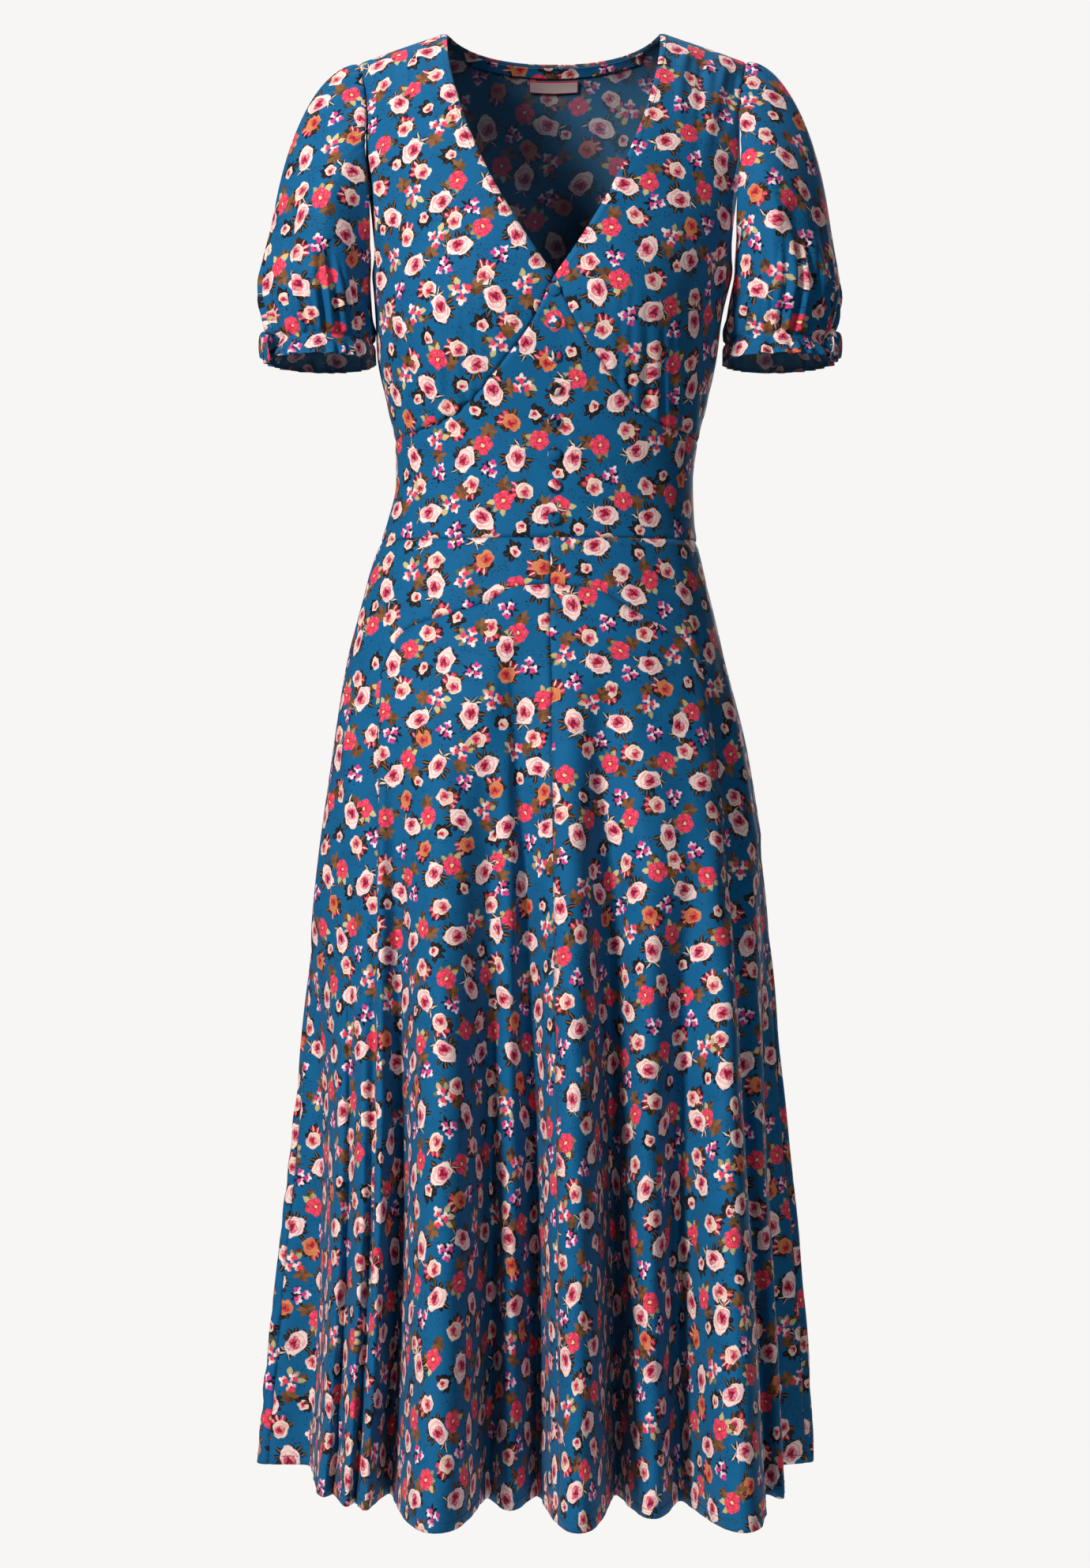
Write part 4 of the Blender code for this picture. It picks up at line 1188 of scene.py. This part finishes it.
# how far the pull of the cloth carries at each end: outwards, to front or back, up
sleevePull = {
    "top": ((0.047, 0.000, -0.002), (0.020, 0.000, 0.092)),
    "face": ((0.030, 0.026, -0.024), (0.000, 0.020, 0.085)),
    "under": ((0.003, 0.000, -0.012), (0.002, 0.000, 0.016)),
}


def armholeRing(side):
    # from the shoulder down the front to the underarm and up the back
    share = np.linspace(0, 1, sleeve["perFace"] + 1)
    runs = []
    for face in ("front", "back"):
        edge = armhole(share, face)[None]
        run = panel(edge[..., 0], edge[..., 1], face, side).reshape(-1, 3)
        runs.append(run if side > 0 else run[::-1])
    front, back = runs
    ends = (front[0] + back[0]) / 2, (front[-1] + back[-1]) / 2
    return np.array([ends[0], *front[1:-1], ends[1], *back[1:-1][::-1]])


def cuffRing(side, flare, drop):
    turn = np.linspace(0, 2 * math.pi, 2 * sleeve["perFace"], endpoint=False)
    centre = sleeve["cuffCentre"]
    x = centre[0] + (sleeve["cuffHalfWidth"] + flare) * np.cos(turn)
    y = centre[1] - (sleeve["cuffHalfDepth"] + flare) * np.sin(turn)
    return np.stack([side * x, y, np.full_like(x, centre[2] - drop)], axis=-1)


for side, name in ((1, "left"), (-1, "right")):
    start, end = armholeRing(side), cuffRing(side, 0.0, 0.0)
    turn = np.linspace(0, 2 * math.pi, len(start), endpoint=False)
    start[:, 0] += side * (sleeve["clearance"][0] + sleeve["clearance"][1] * (1 - np.cos(turn)))
    top = np.clip(np.cos(turn), 0, 1) ** 1.5
    under = np.clip(-np.cos(turn), 0, 1) ** 1.5
    weights = {"top": top, "face": 1 - top - under, "under": under}

    def pull(which):
        total = sum(weights[part][:, None] * np.array(sleevePull[part][which]) for part in weights)
        total[:, 0] *= side
        total[:, 1] *= -np.sin(turn)
        return total

    t = np.linspace(0, 1, sleeve["tubeRows"] + 1)[:, None, None]
    tube = (
        start * (1 - t) ** 3
        + 3 * (start + pull(0)) * t * (1 - t) ** 2
        + 3 * (end + pull(1)) * t**2 * (1 - t)
        + end * t**3
    )
    rings = []
    for drop in np.linspace(0, 1, sleeve["cuffRows"] + 1)[1:]:
        flare = sleeve["frillFlare"] * ease((drop - sleeve["channel"]) / (1 - sleeve["channel"]))
        ring = cuffRing(side, flare, sleeve["frillDrop"] * drop)
        ring[:, 0] += side * flare * under
        rings.append(ring)
    whole = np.concatenate([tube, np.array(rings)])

    # open the tube along the underarm, so that it can lie flat
    order = np.concatenate(
        [np.arange(sleeve["perFace"], 2 * sleeve["perFace"]), np.arange(sleeve["perFace"] + 1)]
    )
    if side > 0:
        order = order[::-1]
    flatPanel = whole[:, order]
    turn, under = turn[order], under[order]
    rows = np.arange(len(flatPanel))[:, None]
    course = np.clip(rows / sleeve["tubeRows"], 0, 1)
    drop = np.clip((rows - sleeve["tubeRows"]) / sleeve["cuffRows"], 0, 1)
    bearing = np.where(turn > math.pi, turn - 2 * math.pi, turn)
    around = sleeve["radius"] * bearing
    shy = 1 - sleeve["calmUnder"] * under
    closing = np.sin(np.clip((math.pi - np.abs(bearing)) / 0.4, 0, 1) * math.pi / 2)
    head = gatherFolds(around + 0.006 * course, sleeve["headSpacing"], 13 + side)
    head = head * np.clip(1 - course / 0.30, 0, 1) ** 1.6
    head = head * np.clip(np.cos(turn) + 0.15, 0, 1) * sleeve["headDepth"]
    cuff = unevenWaves(around + 0.012 * np.sin(3 * course), sleeve["cuffSpacing"], 23 + side)
    cuff = cuff * ease((course - 0.62) / 0.34) * (1 - 0.55 * drop) * shy * sleeve["cuffDepth"]
    cuff = cuff * np.where(drop > 0, np.clip(1 - drop / 0.15, 0, 1), 1)
    ruffle = unevenWaves(around, sleeve["ruffleSpacing"], 33 + side) * shy * sleeve["ruffleDepth"]
    ruffle = ruffle * ease((drop - sleeve["channel"]) / (1 - sleeve["channel"]))
    groove = np.exp(-(((drop - sleeve["channel"] / 1.6) / 0.16) ** 2)) * ease(course)
    puff = shy * sleeve["puff"] * np.exp(-(((course - 0.86) / 0.10) ** 2)) * (drop == 0)
    points = pushed(flatPanel, (head + cuff + ruffle) * closing + puff - sleeve["grooveDepth"] * groove)
    points[..., 0] -= side * sleeve["tuckIn"][name] * under * ease(course / 0.5)
    points = creased(points, sleeve["creases"][name], seed=8)
    points = sewnEdges(points, "top")
    points[:, -1] = points[:, 0]
    clothPiece(
        "sleeve_" + name, [flatPanel], [points],
        (0.9 + 0.37 * side, 0.36), welded=False,
    )
    needlework.append(
        ("sleeve_" + name, insetLine(points, "bottom", sleeve["stitchRise"], sleeve["stitchLift"]))
    )
print("sleeves made")


tie = {
    "turn": 30.0,  # where it comes out of the cuff, from the outside towards the front
    "standOff": 0.0035,  # from the cuff
    "drop": 0.006,
    "thickness": 0.0014,
    # along the cuff, outwards, up, width: from one end through the knot to the other
    "tails": (
        ((0.0, 0.0015, 0.000, 0.0045), (0.004, 0.0045, 0.0025, 0.0100), (0.010, 0.0065, 0.0010, 0.0135),
         (0.0155, 0.0055, -0.0050, 0.0130), (0.0185, 0.0040, -0.0125, 0.0110)),
        ((0.0, 0.0020, 0.000, 0.0045), (-0.004, 0.0060, 0.0010, 0.0095), (-0.008, 0.0090, -0.0050, 0.0130),
         (-0.011, 0.0092, -0.0120, 0.0125), (-0.0125, 0.0080, -0.0175, 0.0105)),
    ),
    "knot": 0.0052,
    "knotReach": 0.0030,
    "knotWidth": 0.0066,
    "knotThickness": 0.0018,
}


def joinedPiece(node, parts, material):
    # parts are (points, faces, flat places), joined as one closed-off mesh
    places, faces, flats = [], [], []
    for points, corners, flat in parts:
        faces += [tuple(k + len(places) for k in corner) for corner in corners]
        places += [tuple(p) for p in points]
        flats += [tuple(f) for f in flat]
    mesh = bpy.data.meshes.new(node + "_cloth")
    mesh.from_pydata(places, [], faces)
    layer = mesh.uv_layers.new(name="Cloth")
    corner = np.empty(len(mesh.loops), np.int32)
    mesh.loops.foreach_get("vertex_index", corner)
    layer.uv.foreach_set("vector", np.array(flats, np.float32)[corner].ravel())
    model = bmesh.new()
    model.from_mesh(mesh)
    bmesh.ops.recalc_face_normals(model, faces=model.faces)
    model.to_mesh(mesh)
    model.free()
    mesh.shade_smooth()
    mesh.materials.append(material)
    made = inScene(node + "_cloth", mesh)
    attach(made, "root")
    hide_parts(node)


def ribbon(course, widths, thickness, face, start):
    # a flat strip swept along a course, lying square to its face direction
    count, ring = len(course), 10
    points, faces, flat = [], [], []
    length = 0.0
    for k, (place, width) in enumerate(zip(course, widths)):
        way = (course[min(k + 1, count - 1)] - course[max(k - 1, 0)]).normalized()
        up = (face - way * face.dot(way)).normalized()
        broad = way.cross(up)
        length += (place - course[max(k - 1, 0)]).length
        for n in range(ring):
            a = 2 * math.pi * n / ring
            curl = 0.12 * width * math.cos(a) ** 2
            points.append(place + broad * width / 2 * math.cos(a) + up * (thickness / 2 * math.sin(a) + curl))
            flat.append((start[0] + width / 2 * math.cos(a), start[1] + length))
    for k in range(count - 1):
        for n in range(ring):
            one, two = k * ring + n, k * ring + (n + 1) % ring
            faces.append((one, two, two + ring, one + ring))
    faces.append(tuple(range(ring))[::-1])
    faces.append(tuple((count - 1) * ring + n for n in range(ring)))
    return points, faces, flat


def throughPoints(rows, steps):
    # a smooth run of values through a few given ones
    rows = np.array(rows, float)
    at = np.arange(len(rows))
    fine = np.linspace(0, len(rows) - 1, steps)
    slopes = np.gradient(rows, axis=0)
    i = np.minimum(fine.astype(int), len(rows) - 2)
    t = (fine - at[i])[:, None]
    return hermite(t, rows[i], rows[i + 1], slopes[i], slopes[i + 1])


for side, name in ((1, "left"), (-1, "right")):
    turn = math.radians(tie["turn"])
    centre = sleeve["cuffCentre"]
    place = Vector((
        side * (centre[0] + (sleeve["cuffHalfWidth"] + tie["standOff"]) * math.cos(turn)),
        centre[1] - (sleeve["cuffHalfDepth"] + tie["standOff"]) * math.sin(turn),
        centre[2] - tie["drop"],
    ))
    out = Vector(
        (side * math.cos(turn) / sleeve["cuffHalfWidth"], -math.sin(turn) / sleeve["cuffHalfDepth"], 0)
    ).normalized()
    along = Vector((0, 0, 1)).cross(out) * side
    parts = []
    for number, tail in enumerate(tie["tails"]):
        rows = throughPoints(tail, 14)
        course = [place + along * r[0] + out * r[1] + Vector((0, 0, r[2])) for r in rows]
        parts.append(ribbon(course, rows[:, 3], tie["thickness"], out, (0.21 + 0.3 * number, 0.4 * side)))
    wrap = []
    for a in np.linspace(-0.6, 2 * math.pi - 0.5, 18):
        wrap.append(
            place + out * tie["knotReach"] * (1 + math.cos(a)) + Vector((0, 0, 1)) * tie["knot"] * math.sin(a)
            + along * 0.0012 * math.sin(a / 2)
        )
    parts.append(ribbon(wrap, [tie["knotWidth"]] * len(wrap), tie["knotThickness"], along, (0.52, 0.17 * side)))
    joinedPiece("sleeve_tie_" + name, parts, rightSide)


neck = {
    "facingRows": (0.64, 3.2),  # rows of the back panel between which it lies
    "facingReach": 0.42,  # share of the back's width that it covers
    "labelTop": -0.0232,
    "labelDrop": 0.0092,
    "labelWidth": 0.0415,
    "labelEdge": 0.0008,
    "labelTurned": 0.0022,  # what the tape has turned under at its edges
    "facingGap": 0.0016 / 1.4,
    "labelGap": 0.0016 * 1.3,
}


def insideStrip(points, rows, columns, gap):
    # a strip of points laid against the inside of a panel
    strip = np.empty((len(rows), len(columns), 3))
    inner = pushed(points, np.full(points.shape[:2], -gap))
    for k in range(3):
        byRow = np.array([np.interp(columns, np.arange(points.shape[1]), row[:, k]) for row in inner])
        strip[..., k] = np.array([np.interp(rows, np.arange(points.shape[0]), c) for c in byRow.T]).T
    return strip


middle = (backPanel.shape[1] - 1) / 2
rows = np.linspace(*neck["facingRows"], 9)
columns = middle + middle * neck["facingReach"] * np.linspace(-1, 1, 49)
facing = insideStrip(backPanel, rows, columns, neck["facingGap"])
clothPiece(
    "neck_facing", [facing], [facing], (0.11, 0.77),
    faces=(insideOut, rightSide),
)
heights = -backPanel[:, int(middle), 2]
labelRows = np.interp(
    (-neck["labelTop"], -neck["labelTop"] + neck["labelDrop"]), heights, np.arange(len(heights))
)
step = np.linalg.norm(backPanel[12, int(middle) + 1] - backPanel[12, int(middle)])
reach = neck["labelWidth"] / 2 / step
tape = insideStrip(
    backPanel, np.linspace(*labelRows, 9), middle + np.linspace(-reach, reach, 33), neck["labelGap"]
)
flatTape = np.stack(
    np.meshgrid(np.linspace(0, neck["labelWidth"], 33), np.linspace(0, -neck["labelDrop"], 9)), axis=-1
)
label = madeCloth(
    "neck_label_tape", "neck_label", [tape], [flatTape], np.zeros(2), (labelTape, labelTape)
)
# a thin red edge is woven into the tape all round
weft = labelTape.node_tree
spot = addNode(weft, "SeparateXYZ", addNode(weft, "UVMap", uv_map="Cloth")).node.outputs
edges = []
for number, span in ((0, neck["labelWidth"]), (1, -neck["labelDrop"])):
    offCentre = addNode(weft, "Math SUBTRACT", spot[number], span / 2)
    offCentre = addNode(weft, "Math ABSOLUTE", offCentre)
    edges.append(addNode(weft, "Math GREATER_THAN", offCentre, abs(span) / 2 - neck["labelEdge"]))
border = addNode(weft, "Math MAXIMUM", *edges)
tapeColor = addNode(weft, "Mix RGBA", border, "#b3a19f", "#a3172b")
weft.links.new(tapeColor, weft.nodes["Principled BSDF"].inputs["Base Color"])
print("ties, facing and label made")

button = {
    "count": 8,
    "radius": 0.0054,
    "dome": 0.0030,
    "rings": 7,
    "spokes": 28,
    "pleats": 9,  # soft tucks where the cloth is drawn under
    "tuck": 0.00016,
}


def coveredButton(node, shift):
    low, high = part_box(node)
    middle = (low + high) / 2
    centre = frontMidriff[:, frontMidriff.shape[1] // 2]
    near = int(np.argmin(np.abs(centre[:, 2] - middle.z)))
    near = min(max(near, 1), len(centre) - 2)
    fall = Vector(centre[near + 1] - centre[near - 1]).normalized()
    out = fall.cross(Vector((1, 0, 0))).normalized()
    place = middle - out * button["dome"] / 2
    spin = out.to_track_quat("Z", "Y").to_matrix().to_4x4()
    profile = []
    for n in range(button["rings"] + 1):
        a = math.pi / 2 * n / button["rings"]
        profile.append((button["radius"] * math.sin(a), button["dome"] * (0.25 + 0.75 * math.cos(a))))
    profile.append((button["radius"] * 0.97, button["dome"] * 0.10))
    profile.append((button["radius"] * 0.80, 0.0))
    points, flat, faces = [(0.0, 0.0, profile[0][1])], [(0.0, 0.0)], []
    for ring, (r, z) in enumerate(profile[1:], 1):
        for k in range(button["spokes"]):
            a = 2 * math.pi * k / button["spokes"]
            drawn = button["tuck"] * math.cos(button["pleats"] * a) * (ring / len(profile)) ** 3
            points.append(((r + drawn) * math.cos(a), (r + drawn) * math.sin(a), z))
            reach = button["radius"] * ring / button["rings"] * 1.15
            flat.append((reach * math.cos(a), reach * math.sin(a)))
    points.append((0.0, 0.0, 0.0))
    flat.append((0.0, 0.0))
    spokes, last = button["spokes"], len(points) - 1
    for k in range(spokes):
        nxt = (k + 1) % spokes
        faces.append((0, 1 + k, 1 + nxt))
        for ring in range(len(profile) - 2):
            one, two = 1 + ring * spokes, 1 + (ring + 1) * spokes
            faces.append((one + k, two + k, two + nxt, one + nxt))
        end = 1 + (len(profile) - 2) * spokes
        faces.append((last, end + nxt, end + k))
    points = [Matrix.Translation(place) @ spin @ Vector(p) for p in points]
    flat = [(u + shift[0], v + shift[1]) for u, v in flat]
    joinedPiece(node, [(points, faces, flat)], buttonCloth)


for number in range(1, button["count"] + 1):
    coveredButton(f"button_{number}", (0.0137 * number * number, 0.031 * number))
print("buttons made")


stitching = {
    "Pitch": 0.0030,
    "Length": 0.0021,
    "Radius": 0.00020,
    "Spread": 0.10,
    "Seed": 7,
    "Material": thread,
}


def stitchNodes():
    tree = bpy.data.node_groups.new("row of stitches", "GeometryNodeTree")
    for name in ("Geometry", *stitching):
        kind = {"Geometry": "Geometry", "Seed": "Int", "Material": "Material"}.get(name, "Float")
        tree.interface.new_socket(name, in_out="INPUT", socket_type="NodeSocket" + kind)
    tree.interface.new_socket("Geometry", in_out="OUTPUT", socket_type="NodeSocketGeometry")
    add = functools.partial(addNode, tree)
    takes = tree.nodes.new("NodeGroupInput").outputs
    gives = tree.nodes.new("NodeGroupOutput").inputs
    line = add("GeometryNodeMeshToCurve", {"Mesh": takes["Geometry"]})
    spaced = {"Curve": line, "Length": takes["Pitch"]}
    along = add("GeometryNodeCurveToPoints", spaced, mode="LENGTH").node.outputs
    stitch = add(
        "GeometryNodeMeshCylinder", {"Vertices": 6, "Radius": takes["Radius"], "Depth": takes["Length"]}
    )
    least = add("Math SUBTRACT", 1.0, takes["Spread"])
    most = add("Math ADD", 1.0, takes["Spread"])
    size = add("FunctionNodeRandomValue", {"Min": least, "Max": most, "Seed": takes["Seed"]}, out=1)
    sewn = {"Points": along["Points"], "Instance": stitch, "Rotation": along["Rotation"], "Scale": size}
    placed = add("GeometryNodeInstanceOnPoints", sewn)
    real = add("GeometryNodeRealizeInstances", {"Geometry": placed})
    painted = add("GeometryNodeSetMaterial", {"Geometry": real, "Material": takes["Material"]})
    tree.links.new(painted, gives["Geometry"])
    return tree


def rowOfStitches(name, points, tree):
    mesh = bpy.data.meshes.new(name)
    mesh.from_pydata([tuple(p) for p in points], [(k, k + 1) for k in range(len(points) - 1)], [])
    made = inScene(name, mesh)
    sewing = made.modifiers.new("stitches", "NODES")
    sewing.node_group = tree
    for socket in tree.interface.items_tree:
        if socket.in_out == "INPUT" and socket.name in stitching:
            sewing[socket.identifier] = stitching[socket.name]
    bpy.context.view_layer.update()
    graph = bpy.context.evaluated_depsgraph_get()
    real = bpy.data.meshes.new_from_object(made.evaluated_get(graph), depsgraph=graph)
    made.modifiers.clear()
    made.data = real
    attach(made, "root")
    print(name, len(real.polygons), "faces")


stitches = stitchNodes()
for piece, points in needlework:
    rowOfStitches("stitches_" + piece, points, stitches)


def areaLight(name, place, target, size, power, color):
    data = bpy.data.lights.new(name, "AREA")
    data.shape = "RECTANGLE"
    data.size, data.size_y = size
    data.energy = power
    data.color = linear(color)[:3]
    made = inScene(name, data)
    made.location = place
    made.rotation_euler = (Vector(target) - Vector(place)).to_track_quat("-Z", "Y").to_euler()


areaLight("key", (-1.65, -2.05, 0.6), (0.0, 0.0, -0.55), (0.5, 1.1), 84, "#fff8f2")
areaLight("fill", (0.9, -2.8, 0.3), (0.0, 0.0, -0.6), (0.6, 1.0), 10, "#f2f5ff")
areaLight("back", (0.9, 2.4, 0.5), (0.0, 0.0, -0.55), (1.2, 1.4), 52, "#ffffff")
areaLight("top", (0.0, 0.3, 1.5), (0.0, 0.0, -1.0), (1.4, 1.4), 18, "#ffffff")

world = bpy.data.worlds.new("pale room")
bpy.context.scene.world = world
world.use_nodes = True
room = world.node_tree.nodes["Background"]
seen = addNode(world.node_tree, "LightPath").node.outputs["Is Camera Ray"]
bright = addNode(
    world.node_tree, "MapRange", {"Value": seen, "To Min": studio["ambient"], "To Max": studio["backdrop"]}
)
world.node_tree.links.new(bright, room.inputs["Strength"])
room.inputs["Color"].default_value = linear("#f7f6f4")

floorMesh = bpy.data.meshes.new("floor")
disc = bmesh.new()
bmesh.ops.create_circle(disc, cap_ends=True, segments=96, radius=studio["floorRadius"])
disc.to_mesh(floorMesh)
disc.free()
floorMesh.materials.append(paleFloor)
floor = inScene("floor", floorMesh)
floor.location = (0, 0, studio["floorHeight"])
print("lights and floor made")
